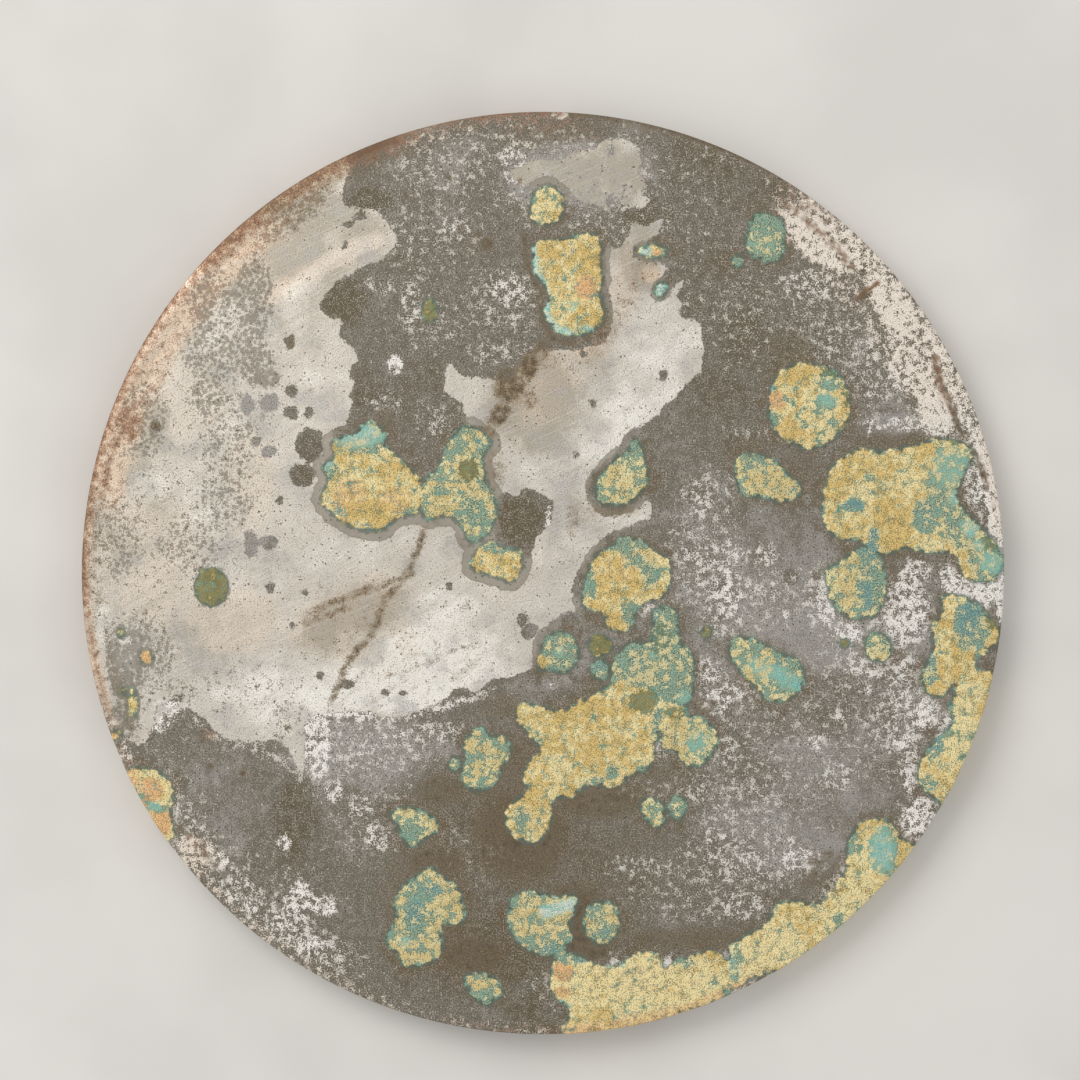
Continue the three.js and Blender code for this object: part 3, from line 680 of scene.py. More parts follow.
@dataclass(frozen=True)
class PatinaMap:
    """Reads the drawn patina, and the light and shade painted among it, at places on the mirror.

    The pixel size follows from the disc's diameter in the frame.
    """

    pixel: float
    radius: float
    margin: float = 34.0
    halo_width: float = 9.0
    halo_share: float = 0.7
    wrap: float = 0.994
    seed: int = 5

    def pixels(self, places: Array) -> tuple[Array, Array]:
        """Pixels of the photograph over places on the mirror, drawn in from beyond the rim.

        Args:
            places: Points in metres.

        Returns:
            Pixels to the right and pixels down.
        """
        distance = np.hypot(places[:, 0], places[:, 1])
        pull = np.minimum(1.0, self.wrap * self.radius / np.maximum(distance, 1e-9))
        x = DISC_CENTRE[0] + places[:, 0] * pull / self.pixel
        y = DISC_CENTRE[1] - places[:, 1] * pull / self.pixel
        return x, y

    def crusts(self, x: Array, y: Array) -> dict[Trace, Array]:
        """Depth inside the nearest crust, the halo round it and the minerals of that crust.

        A halo is as wide as a share of the crust's own half width, up to its full width.

        Args:
            x: Pixels to the right.
            y: Pixels down.

        Returns:
            Depths in millimetres and shares of verdigris and olive.
        """
        depth = np.full(x.shape, -self.margin)
        halo = np.full(x.shape, -self.margin)
        verdigris = np.zeros(x.shape)
        olive = np.zeros(x.shape)
        for crust in CRUSTS:
            shape = crust.shape
            if isinstance(shape, Spot):
                low = np.array((shape.x - shape.across, shape.y - shape.along))
                high = np.array((shape.x + shape.across, shape.y + shape.along))
            else:
                low, high = shape.line().min(axis=0), shape.line().max(axis=0)
            near = (x > low[0] - self.margin) & (x < high[0] + self.margin)
            near &= (y > low[1] - self.margin) & (y < high[1] + self.margin)
            found = np.full(x.shape, -self.margin)
            found[near] = shape.depth(x[near], y[near])
            reach = min(self.halo_width, self.halo_share * found.max())
            halo = np.maximum(halo, found + reach * (1.0 - crust.mineral.value[1]))
            nearer = found > depth
            depth = np.where(nearer, found, depth)
            verdigris = np.where(nearer, crust.mineral.value[0], verdigris)
            olive = np.where(nearer, crust.mineral.value[1], olive)
        return {
            Trace.CRUST: depth * self.pixel / MM,
            Trace.HALO: halo * self.pixel / MM,
            Trace.VERDIGRIS: verdigris,
            Trace.OLIVE: olive,
        }

    def polish(self, x: Array, y: Array) -> Array:
        """Millimetres inside the polish, with the tarnished blots taken out.

        Args:
            x: Pixels to the right.
            y: Pixels down.

        Returns:
            Depths, negative in dull metal.
        """
        depth = np.max([outline.depth(x, y) for outline in POLISHED], axis=0)
        for blot in TARNISHED:
            depth = np.minimum(depth, -blot.depth(x, y))
        return depth * self.pixel / MM

    def face(self, places: Array) -> dict[Trace, Array]:
        """All traces of the reflecting face and of the side below it.

        Args:
            places: Points in metres.

        Returns:
            One array for each trace.
        """
        x, y = self.pixels(places)
        traces = self.crusts(x, y)
        traces[Trace.POLISH] = self.polish(x, y)
        for trace, glows in GLOWS.items():
            strongest = np.max([glow.glow(x, y) for glow in glows], axis=0)
            traces[trace] = np.maximum(traces.get(trace, 0.0), strongest)
        for trace, sums in ((Trace.TONE, TONES), (Trace.SHEEN, SHEENS)):
            traces[trace] = np.clip(np.sum([glow.glow(x, y) for glow in sums], axis=0), -1.0, 1.0)
        return traces

    def back(self, places: Array) -> dict[Trace, Array]:
        """All traces of the back, which is made plainer: scattered crusts from seeded noise.

        Args:
            places: Points in metres.

        Returns:
            One array for each trace.
        """
        broad = LatticeNoise(self.seed, 0.034, 3).at(places)
        hue = LatticeNoise(self.seed + 1, 0.02, 3).at(places)
        wash = LatticeNoise(self.seed + 2, 0.05, 2).at(places)
        still = np.zeros(len(places))
        return {
            Trace.CRUST: (broad - 0.66) * 60.0,
            Trace.HALO: (broad - 0.63) * 60.0,
            Trace.POLISH: still - 6.0,
            Trace.DOTS: still,
            Trace.BLOOM: ease(hue, 0.5, 0.8) * 0.6,
            Trace.RUST: ease(wash, 0.45, 0.75) * 0.8,
            Trace.WARMTH: ease(wash, 0.6, 0.9) * 0.4,
            Trace.TONE: (wash - 0.6) * 1.4,
            Trace.SHEEN: still,
            Trace.VERDIGRIS: ease(hue, 0.35, 0.6),
            Trace.CYAN: ease(hue, 0.68, 0.85) * 0.5,
            Trace.BLUE: still,
            Trace.OLIVE: ease(broad, 0.5, 0.62) * 0.3,
        }


@dataclass(frozen=True)
class Casting:
    """Section of the casting, in metres. Heights are above the plane that its border rests on."""

    radius: float
    edge_height: float = 8.5 * MM
    rise: float = 3.0 * MM
    plate: float = 2.8 * MM
    roll_width: float = 3.5 * MM
    roll_drop: float = 0.35 * MM
    arris: float = 0.5 * MM
    taper: float = 1.2 * MM
    chamfer: float = 0.6 * MM
    border: float = 11.0 * MM
    border_slope: float = 1.8 * MM
    knob_radius: float = 15.0 * MM
    knob_clearance: float = 0.6 * MM
    knob_fillet: float = 0.9 * MM
    seat_margin: float = 6.0 * MM
    line_foot: float = 1.0 * MM
    line_crest: float = 0.4 * MM
    line_height: float = 0.9 * MM
    line_count: int = 2
    hole_width: float = 7.2 * MM
    hole_roof: float = 2.6 * MM
    hole_floor: float = 0.4 * MM
    hole_arch: float = 0.68
    hole_wear: float = 0.7 * MM

    @property
    def rest_outer(self) -> float:
        """Outer radius of the flat that the mirror rests on."""
        return self.radius - self.taper - self.chamfer

    @property
    def field_outer(self) -> float:
        """Outer radius of the sunk field of the back."""
        return self.rest_outer - self.border - self.border_slope

    @property
    def seat_radius(self) -> float:
        """Outer radius of the flat seat round the knob."""
        return self.knob_radius + self.seat_margin

    @property
    def seat_height(self) -> float:
        """Height of the seat, where it meets the field."""
        return float(self.field_height(np.array(self.seat_radius)))

    @property
    def line_middles(self) -> Array:
        """Radii of the raised lines, evenly spaced from the seat's ring outwards."""
        first = self.seat_radius + self.line_foot
        return first + (self.field_outer - first) / (self.line_count + 1) * np.arange(self.line_count + 1)

    def face_height(self, radius: Array) -> Array:
        """The face: a shallow parabola, less the square of the share of the rolled ring.

        Args:
            radius: Distances from the axis.

        Returns:
            Heights.
        """
        bulge = self.edge_height + self.roll_drop + self.rise * (1.0 - (radius / self.radius) ** 2)
        rolled = np.maximum(0.0, (radius - self.radius + self.roll_width) / self.roll_width)
        return bulge - self.roll_drop * rolled**2

    def field_height(self, radius: Array) -> Array:
        """The plain field of the back, which runs a plate's thickness below the face."""
        return self.face_height(radius) - self.plate

    def edge_section(self, arris_steps: int, side_steps: int) -> Array:
        """The edge from the worn corner down to the border: a quarter circle, a leaning line and a chamfer.

        Args:
            arris_steps: Steps round the corner.
            side_steps: Steps down the side.

        Returns:
            Points of radius and height.
        """
        turn = np.linspace(0.0, math.pi / 2.0, arris_steps + 1)[1:]
        top = float(self.face_height(np.array(self.radius - self.arris)))
        corner = np.column_stack((
            self.radius - self.arris + self.arris * np.sin(turn),
            top - self.arris * (1.0 - np.cos(turn)),
        ))
        down = np.linspace(0.0, 1.0, side_steps + 1)[1:, None]
        side = corner[-1] * (1.0 - down) + np.array((self.radius - self.taper, self.chamfer)) * down
        return np.vstack((corner, side, (self.rest_outer, 0.0)))

    def back_section(self, field_steps: int, dome_steps: int) -> Array:
        """The back from the border in to the knob: flat, eased slope, field with raised lines, seat, dome.

        Args:
            field_steps: Steps of each plain stretch of the field.
            dome_steps: Steps over the knob.

        Returns:
            Points of radius and height, without the middle of the knob.
        """
        inner = self.rest_outer - self.border
        flat = np.linspace(self.rest_outer - 1.5 * MM, inner, 5)
        slope = np.linspace(0.0, 1.0, 7)[1:]
        rows = [np.column_stack((flat, np.zeros(5)))]
        rows.append(np.column_stack((
            inner - self.border_slope * slope,
            self.field_height(np.array(self.field_outer)) * ease(slope, 0.0, 1.0),
        )))
        outer = self.field_outer
        crossing = np.array((1.0, 0.75, 0.5, 0.0, -0.5, -0.75, -1.0)) * self.line_foot
        for middle in self.line_middles[::-1]:
            plain = np.linspace(outer, middle + self.line_foot, field_steps + 1)[1:-1]
            radii = np.concatenate((plain, middle + crossing))
            raised = self.line_height * (1.0 - ease(np.abs(radii - middle), self.line_crest, self.line_foot))
            rows.append(np.column_stack((radii, self.field_height(radii) - raised)))
            outer = middle - self.line_foot
        rows.append(self.knob_section(dome_steps))
        return np.vstack(rows)

    def knob_section(self, dome_steps: int) -> Array:
        """The seat, a round fillet and the dome, a quarter of an ellipse.

        Args:
            dome_steps: Steps over the dome.

        Returns:
            Points of radius and height, without the crown.
        """
        seat = np.linspace(self.seat_radius - 1.0 * MM, self.knob_radius + self.knob_fillet, 4)
        bend = np.linspace(0.0, math.pi / 2.0, 5)[1:]
        fillet = np.column_stack((
            self.knob_radius + self.knob_fillet * (1.0 - np.sin(bend)),
            self.seat_height - self.knob_fillet * (1.0 - np.cos(bend)),
        ))
        depth = self.seat_height - self.knob_clearance
        start = math.asin(self.knob_fillet / depth)
        turn = np.linspace(start, math.pi / 2.0, dome_steps + 1)[1:-1]
        dome = np.column_stack((self.knob_radius * np.cos(turn), self.seat_height - depth * np.sin(turn)))
        return np.vstack((np.column_stack((seat, np.full(4, self.seat_height))), fillet, dome))


def strip(upper: Array, lower: Array) -> Array:
    """Triangles between two closed rings of as many vertices, facing out where upper is above or outside."""
    next_upper, next_lower = np.roll(upper, -1), np.roll(lower, -1)
    first = np.column_stack((lower, next_lower, next_upper))
    second = np.column_stack((lower, next_upper, upper))
    return np.vstack((first, second))


def narrowing_strip(upper: Array, lower: Array) -> Array:
    """Triangles between a ring and one with a quarter of its vertices: five for each of the lower ring's."""
    fine = np.vstack([np.roll(upper, -shift)[::4] for shift in range(5)])
    here, after = lower, np.roll(lower, -1)
    fans = (
        (here, fine[1], fine[0]), (here, fine[2], fine[1]), (here, after, fine[2]),
        (after, fine[3], fine[2]), (after, fine[4], fine[3]),
    )
    return np.vstack([np.column_stack(fan) for fan in fans])


def mesh_object(name: str, places: Array, triangles: Array) -> bpy.types.Object:
    """Puts arrays into a new mesh object at the origin.

    Args:
        name: Name of the object and its mesh.
        places: Vertices in metres, one a row.
        triangles: Vertex numbers, three a row.

    Returns:
        The object, linked to the scene.
    """
    mesh = bpy.data.meshes.new(name)
    mesh.vertices.add(len(places))
    mesh.vertices.foreach_set("co", np.ascontiguousarray(places, dtype=np.float32).ravel())
    mesh.loops.add(3 * len(triangles))
    mesh.loops.foreach_set("vertex_index", np.ascontiguousarray(triangles, dtype=np.int32).ravel())
    mesh.polygons.add(len(triangles))
    mesh.polygons.foreach_set("loop_start", np.arange(0, 3 * len(triangles), 3, dtype=np.int32))
    mesh.update(calc_edges=True)
    mesh.validate()
    made = bpy.data.objects.new(name, mesh)
    bpy.context.scene.collection.objects.link(made)
    return made


@dataclass(frozen=True)
class MirrorBody:
    """The whole casting as one closed surface, its relief and what the patina leaves at each point."""

    casting: Casting
    patina: PatinaMap
    name: str = "bronze_mirror"
    face_rings: int = 132
    arris_steps: int = 3
    side_steps: int = 3
    field_steps: int = 8
    dome_steps: int = 18
    face_inset: float = 0.4 * MM
    side_inset: float = 0.12 * MM
    back_inset: float = 0.22 * MM
    rest_inset: float = 0.05 * MM

    def face_grid(self) -> tuple[Array, Array, Array]:
        """A round grid without a pole: rings of a square grid are bent into circles of the same size.

        A point's ring is the larger of its two coordinates, and its bearing an eighth of a turn times the
        smaller over the larger.

        Returns:
            Places, triangles and the numbers of the outermost ring, counter-clockwise.
        """
        side = 2 * self.face_rings + 1
        line = np.linspace(-1.0, 1.0, side)
        over, up = np.meshgrid(line, line)
        ring = np.maximum(np.abs(over), np.abs(up))
        eighth = math.pi / 4.0
        wide = np.abs(over) >= np.abs(up)
        safe_over = np.where(over == 0.0, 1.0, over)
        safe_up = np.where(up == 0.0, 1.0, up)
        bearing = np.where(wide, eighth * up / safe_over, 2.0 * eighth - eighth * over / safe_up)
        signed = np.where(wide, over, up)
        reach = (self.casting.radius - self.casting.arris) * signed
        x, y = reach * np.cos(bearing), reach * np.sin(bearing)
        z = self.casting.face_height((self.casting.radius - self.casting.arris) * ring)
        numbers = np.arange(side * side).reshape(side, side)
        near, far = numbers[:-1, :-1].ravel(), numbers[1:, 1:].ravel()
        right, above = numbers[:-1, 1:].ravel(), numbers[1:, :-1].ravel()
        triangles = np.vstack((np.column_stack((near, right, far)), np.column_stack((near, far, above))))
        border = np.concatenate((
            numbers[0, :-1], numbers[:-1, -1], numbers[-1, :0:-1], numbers[:0:-1, 0],
        ))
        return np.column_stack((x.ravel(), y.ravel(), z.ravel())), triangles, border

    def shell(self) -> tuple[Array, Array]:
        """The casting without its cord hole: the face grid, then rings down the edge and in over the back.

        Returns:
            Places and triangles.
        """
        places, triangles, ring = self.face_grid()
        parts, faces = [places], [triangles]
        count = len(places)
        edge = self.casting.edge_section(self.arris_steps, self.side_steps)
        back = self.casting.back_section(self.field_steps, self.dome_steps)
        for section, divisions in ((edge, len(ring)), (back, len(ring) // 4)):
            bearing = -0.75 * math.pi + 2.0 * math.pi * np.arange(divisions) / divisions
            for radius, height in section:
                row = np.column_stack((
                    radius * np.cos(bearing), radius * np.sin(bearing), np.full(divisions, height),
                ))
                numbers = count + np.arange(divisions)
                join = strip if len(ring) == divisions else narrowing_strip
                faces.append(join(ring, numbers))
                parts.append(row)
                ring = numbers
                count += divisions
        parts.append(np.array(((0.0, 0.0, self.casting.knob_clearance),)))
        crown = np.full(len(ring), count)
        faces.append(np.column_stack((crown, np.roll(ring, -1), ring)))
        return np.vstack(parts), np.vstack(faces)

    def hole_tool(self, steps: int = 40, arch_steps: int = 18) -> bpy.types.Object:
        """The cord hole's tool: a flat-floored arch along X, widened at both mouths as a cord wears them.

        Args:
            steps: Steps along the hole.
            arch_steps: Steps round the arch.

        Returns:
            A closed object to cut with.
        """
        cast = self.casting
        floor, roof = cast.seat_height - cast.hole_floor, cast.knob_clearance + cast.hole_roof
        rise = (floor - roof) * cast.hole_arch
        turn = np.linspace(0.0, math.pi, arch_steps + 1)
        half = cast.hole_width / 2.0
        across = np.concatenate(((half,), half * np.cos(turn), (-half,)))
        height = np.concatenate(((floor,), roof + rise - rise * np.sin(turn), (floor,)))
        along = np.linspace(-1.0, 1.0, steps + 1) * (cast.knob_radius + 0.8 * MM)
        wear = cast.hole_wear * ease(np.abs(along), 0.5 * cast.knob_radius, cast.knob_radius)
        y = across[None, :] * (1.0 + wear[:, None] / half)
        z = height[None, :] - wear[:, None] * ((floor - height) / (floor - roof))[None, :]
        x = np.broadcast_to(along[:, None], y.shape)
        size = len(across)
        numbers = np.arange((steps + 1) * size).reshape(steps + 1, size)
        faces = [strip(numbers[row], numbers[row + 1]) for row in range(steps)]
        for end, order in ((numbers[0], 1), (numbers[-1], -1)):
            fan = np.column_stack((np.full(size - 2, end[0]), end[1:-1], end[2:]))
            faces.append(fan[:, ::order])
        places = np.column_stack((x.ravel(), y.ravel(), z.ravel()))
        return mesh_object("cord_hole_tool", places, np.vstack(faces))

    def cut(self, body: bpy.types.Object, tool: bpy.types.Object) -> None:
        """Cuts the cord hole out of the body and keeps only the result.

        Args:
            body: The closed shell.
            tool: What is cut away, deleted afterwards.
        """
        cutter = body.modifiers.new("cord_hole", "BOOLEAN")
        cutter.operation = "DIFFERENCE"
        cutter.solver = "EXACT"
        cutter.object = tool
        graph = bpy.context.evaluated_depsgraph_get()
        result = bpy.data.meshes.new_from_object(body.evaluated_get(graph))
        body.modifiers.clear()
        old = body.data
        body.data = result
        result.name = self.name
        bpy.data.meshes.remove(old)
        bpy.data.objects.remove(tool)

    def relief(self, places: Array, traces: dict[Trace, Array], on_face: Array) -> Array:
        """How far each point lies below the sound casting: an inset, less the crust raised on it.

        Crusts rise with their depth, in lumps and grains. The sound metal is slightly uneven.

        Args:
            places: Points in metres.
            traces: What the patina left there.
            on_face: Whether each point is on the reflecting face or the side.

        Returns:
            Depths in metres, never negative.
        """
        radius = np.hypot(places[:, 0], places[:, 1])
        rim = ease(radius, 0.955 * self.casting.radius, 0.99 * self.casting.radius)
        front_inset = self.face_inset + (self.side_inset - self.face_inset) * rim
        inset = np.where(on_face, front_inset, self.back_inset)
        resting = (places[:, 2] < self.casting.chamfer) & (radius > self.casting.field_outer)
        inset = np.where(resting, self.rest_inset, inset)
        lumps = LatticeNoise(31, 5.0 * MM, 3).at(places)
        grains = LatticeNoise(32, 1.6 * MM, 2).at(places)
        height = 0.35 + 0.4 * lumps + 0.25 * grains
        raised = ease(traces[Trace.CRUST] + 1.2 * (lumps - 0.5), -0.2, 1.0) * height
        uneven = 0.08 * (LatticeNoise(33, 14.0 * MM, 3).at(places) - 0.5)
        return inset * np.clip(1.0 - raised + uneven * (1.0 - raised), 0.0, 1.2)

    def build(self) -> bpy.types.Object:
        """Makes the finished mesh, with its relief and attributes.

        Returns:
            The mirror's object.
        """
        places, triangles = self.shell()
        body = mesh_object(self.name, places, triangles)
        self.cut(body, self.hole_tool())
        mesh = body.data
        count = len(mesh.vertices)
        places = np.empty(3 * count, dtype=np.float32)
        mesh.vertices.foreach_get("co", places)
        places = places.reshape(-1, 3).astype(float)
        normals = np.empty(3 * count, dtype=np.float32)
        mesh.vertex_normals.foreach_get("vector", normals)
        normals = normals.reshape(-1, 3)
        radius = np.hypot(places[:, 0], places[:, 1])
        below = self.casting.face_height(np.minimum(radius, self.casting.radius)) - places[:, 2]
        on_face = (below < 0.5 * self.casting.plate) | (radius > self.casting.rest_outer - 0.1 * MM)
        traces = self.traces(places, on_face, below)
        unrolled = self.unrolled(places, on_face, below)
        places -= normals * self.relief(places, traces, on_face)[:, None]
        mesh.vertices.foreach_set("co", places.astype(np.float32).ravel())
        mesh.attributes.new(UNROLLED, "FLOAT_VECTOR", "POINT").data.foreach_set("vector", unrolled.ravel())
        for trace, values in traces.items():
            attribute = mesh.attributes.new(trace.value, "FLOAT", "POINT")
            attribute.data.foreach_set("value", np.asarray(values, dtype=np.float32))
        mesh.shade_smooth()
        mesh.set_sharp_from_angle(angle=math.radians(50.0))
        mesh.update()
        return body

    def unrolled(self, places: Array, on_face: Array, below: Array) -> Array:
        """Flat coordinates for fine patterns: each point is pushed out from the axis by how deep it lies.

        On the face and side that is its depth below the face, on the back its height above the knob's crown,
        so that steep walls don't stretch a pattern.

        Args:
            places: Points in metres.
            on_face: Whether each point is on the face or the side.
            below: How far each point lies below the face, in metres.

        Returns:
            Coordinates in metres, the third of them 0 on the face and 1 on the back.
        """
        radius = np.maximum(np.hypot(places[:, 0], places[:, 1]), 1e-6)
        push = np.where(on_face, below, places[:, 2] - self.casting.knob_clearance)
        share = 1.0 + np.maximum(push, 0.0) / radius
        flat = np.column_stack((places[:, 0] * share, places[:, 1] * share, 1.0 - on_face))
        return flat.astype(np.float32)

    def traces(self, places: Array, on_face: Array, below: Array) -> dict[Trace, Array]:
        """The patina of face, side and back together, with the light and shade painted in it. Down the side,
        crusts thin out, and stains and the painted rim shade weaken.

        Args:
            places: Points in metres.
            on_face: Whether each point is on the face or the side.
            below: How far each point lies below the face, in metres.

        Returns:
            One array for each trace.
        """
        face = self.patina.face(places[on_face])
        back = self.patina.back(places[~on_face])
        for depth in (Trace.CRUST, Trace.HALO):
            face[depth] = face[depth] - 0.25 * np.maximum(0.0, below[on_face]) / MM
        down_side = ease(below[on_face], 0.3 * MM, 1.5 * MM)
        face[Trace.RUST] = face[Trace.RUST] - np.maximum(face[Trace.RUST] - 0.7, 0.0) * down_side
        joined = {}
        for trace in Trace:
            values = np.empty(len(places))
            values[on_face] = face[trace]
            values[~on_face] = back[trace]
            joined[trace] = values
        return joined

    def dress(self, body: bpy.types.Object, material: bpy.types.Material) -> None:
        """Gives the mirror its finish and its place in the frame.

        Args:
            body: The mirror's object.
            material: Its finish.
        """
        body.data.materials.append(material)
        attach(body, BODY)
        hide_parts(NODE)


Colour = tuple[float, float, float, float]


def tint(code: str) -> Colour:
    """A colour from its six-digit sRGB code, as linear light: the part past 0.04045 to the power 2.4."""
    parts = [int(code[start:start + 2], 16) / 255.0 for start in (0, 2, 4)]
    red, green, blue = (((part + 0.055) / 1.055) ** 2.4 if part > 0.04045 else part / 12.92 for part in parts)
    return (red, green, blue, 1.0)


@dataclass(frozen=True)
class Wire:
    """An output socket. Arithmetic on it adds Math nodes to its bench."""

    bench: "NodeBench"
    socket: bpy.types.NodeSocket

    def __add__(self, other: "Wire | float") -> "Wire":
        """The sum of the two."""
        return self.bench.sum_up("ADD", self, other)

    def __sub__(self, other: "Wire | float") -> "Wire":
        """This less the other."""
        return self.bench.sum_up("SUBTRACT", self, other)

    def __mul__(self, other: "Wire | float") -> "Wire":
        """The product of the two."""
        return self.bench.sum_up("MULTIPLY", self, other)

    def __rsub__(self, other: float) -> "Wire":
        """The other less this."""
        return self.bench.sum_up("SUBTRACT", other, self)

    def most(self, other: "Wire | float") -> "Wire":
        """The larger of the two."""
        return self.bench.sum_up("MAXIMUM", self, other)

    def step(self, low: float, high: float) -> "Wire":
        """Smooth step from 0 at low to 1 at high."""
        return self.bench.step(self, low, high)


class NodeBench:
    """Lays out the nodes of one material."""

    def __init__(self, name: str) -> None:
        """Starts a material with one shader and its output.

        Args:
            name: The material's name.
        """
        self.material = bpy.data.materials.new(name)
        self.material.use_nodes = True
        self.tree = self.material.node_tree
        self.tree.nodes.clear()
        self.shader = self.tree.nodes.new("ShaderNodeBsdfPrincipled")
        output = self.tree.nodes.new("ShaderNodeOutputMaterial")
        self.tree.links.new(self.shader.outputs["BSDF"], output.inputs["Surface"])

    def plug(self, socket: bpy.types.NodeSocket, value: "Wire | float | Colour") -> None:
        """Links a wire to a socket, or sets the socket's own value."""
        if isinstance(value, Wire):
            self.tree.links.new(value.socket, socket)
        else:
            socket.default_value = value

    def sum_up(self, operation: str, first: "Wire | float", second: "Wire | float") -> Wire:
        """One Math node over two values."""
        node = self.tree.nodes.new("ShaderNodeMath")
        node.operation = operation
        self.plug(node.inputs[0], first)
        self.plug(node.inputs[1], second)
        return Wire(self, node.outputs[0])

    def step(self, value: Wire, low: float, high: float) -> Wire:
        """Smooth step of a value, from 0 at low to 1 at high."""
        node = self.tree.nodes.new("ShaderNodeMapRange")
        node.interpolation_type = "SMOOTHSTEP"
        self.plug(node.inputs["Value"], value)
        self.plug(node.inputs["From Min"], low)
        self.plug(node.inputs["From Max"], high)
        return Wire(self, node.outputs["Result"])

    def mix(self, share: "Wire | float", first: "Wire | Colour", second: "Wire | Colour") -> Wire:
        """Colour between two, first where the share is 0 and second where it is 1."""
        node = self.tree.nodes.new("ShaderNodeMix")
        node.data_type = "RGBA"
        self.plug(node.inputs[0], share)
        self.plug(node.inputs[6], first)
        self.plug(node.inputs[7], second)
        return Wire(self, node.outputs[2])

    def blend(self, share: Wire, first: "Wire | float", second: "Wire | float") -> Wire:
        """Number between two, first where the share is 0 and second where it is 1."""
        node = self.tree.nodes.new("ShaderNodeMix")
        self.plug(node.inputs[0], share)
        self.plug(node.inputs[2], first)
        self.plug(node.inputs[3], second)
        return Wire(self, node.outputs[0])

    def attribute(self, name: str, output: str = "Fac") -> Wire:
        """The value of one of the surface's attributes."""
        node = self.tree.nodes.new("ShaderNodeAttribute")
        node.attribute_name = name
        return Wire(self, node.outputs[output])

    def object_place(self) -> Wire:
        """Object coordinates in metres."""
        return Wire(self, self.tree.nodes.new("ShaderNodeTexCoord").outputs["Object"])

    def millimetres(self, place: Wire, stretch: Point = (1.0, 1.0), turn: float = 0.0) -> Wire:
        """Coordinates in millimetres, turned about Z and stretched along X and Y.

        Args:
            place: Coordinates in metres.
            stretch: What a pattern's length is multiplied by along X and Y after the turn.
            turn: Degrees about Z.

        Returns:
            The coordinates.
        """
        node = self.tree.nodes.new("ShaderNodeMapping")
        node.vector_type = "TEXTURE"
        node.inputs["Rotation"].default_value = (0.0, 0.0, math.radians(turn))
        node.inputs["Scale"].default_value = (MM * stretch[0], MM * stretch[1], MM)
        self.plug(node.inputs["Vector"], place)
        return Wire(self, node.outputs["Vector"])

    def noise(self, place: Wire, cell: float, detail: float = 2.0, rough: float = 0.5) -> Wire:
        """Flat noise about 0, two thirds of it between -1 and 1.

        Args:
            place: Coordinates in millimetres.
            cell: Size of its largest lumps in millimetres.
            detail: Octaves added to it.
            rough: Weight of each octave beside the one before.

        Returns:
            The noise.
        """
        node = self.tree.nodes.new("ShaderNodeTexNoise")
        node.noise_dimensions = "2D"
        self.plug(node.inputs["Vector"], place)
        self.plug(node.inputs["Scale"], 1.0 / cell)
        self.plug(node.inputs["Detail"], detail)
        self.plug(node.inputs["Roughness"], rough)
        return (Wire(self, node.outputs[0]) - 0.5) * 10.0

    def pebbles(self, place: Wire, cell: float) -> Wire:
        """Distance to the nearest of scattered points as a share of their spacing, about 0.43 on average."""
        node = self.tree.nodes.new("ShaderNodeTexVoronoi")
        node.voronoi_dimensions = "2D"
        self.plug(node.inputs["Vector"], place)
        self.plug(node.inputs["Scale"], 1.0 / cell)
        return Wire(self, node.outputs["Distance"])


@dataclass(frozen=True)
class Grain:
    """The patterns that all layers of the finish share."""

    flat: Wire
    place: Wire
    fine: Wire
    mid: Wire
    broad: Wire
    brushed: Wire
    bites: Wire
    beads: Wire
    net: Wire
    grit: Wire

    @classmethod
    def laid(cls, bench: NodeBench) -> "Grain":
        """Lays out the patterns over the unrolled surface.

        Args:
            bench: Where the nodes go.

        Returns:
            The patterns.
        """
        flat = bench.attribute(UNROLLED, "Vector")
        place = bench.millimetres(flat)
        fine = bench.noise(place, 0.3, 1.0)
        mid = bench.noise(place, 1.7, 3.0, 0.6)
        broad = bench.noise(place, 8.0, 3.0)
        brushed = bench.noise(bench.millimetres(flat, (34.0, 2.4), 36.0), 1.0, 3.0, 0.6)
        bites, beads = bench.pebbles(place, 2.2), bench.pebbles(place, 0.95)
        net = bites * 1.7 + beads * 1.2 - 1.25
        return cls(flat, place, fine, mid, broad, brushed, bites, beads, net, fine * 0.62 + mid * 0.55)


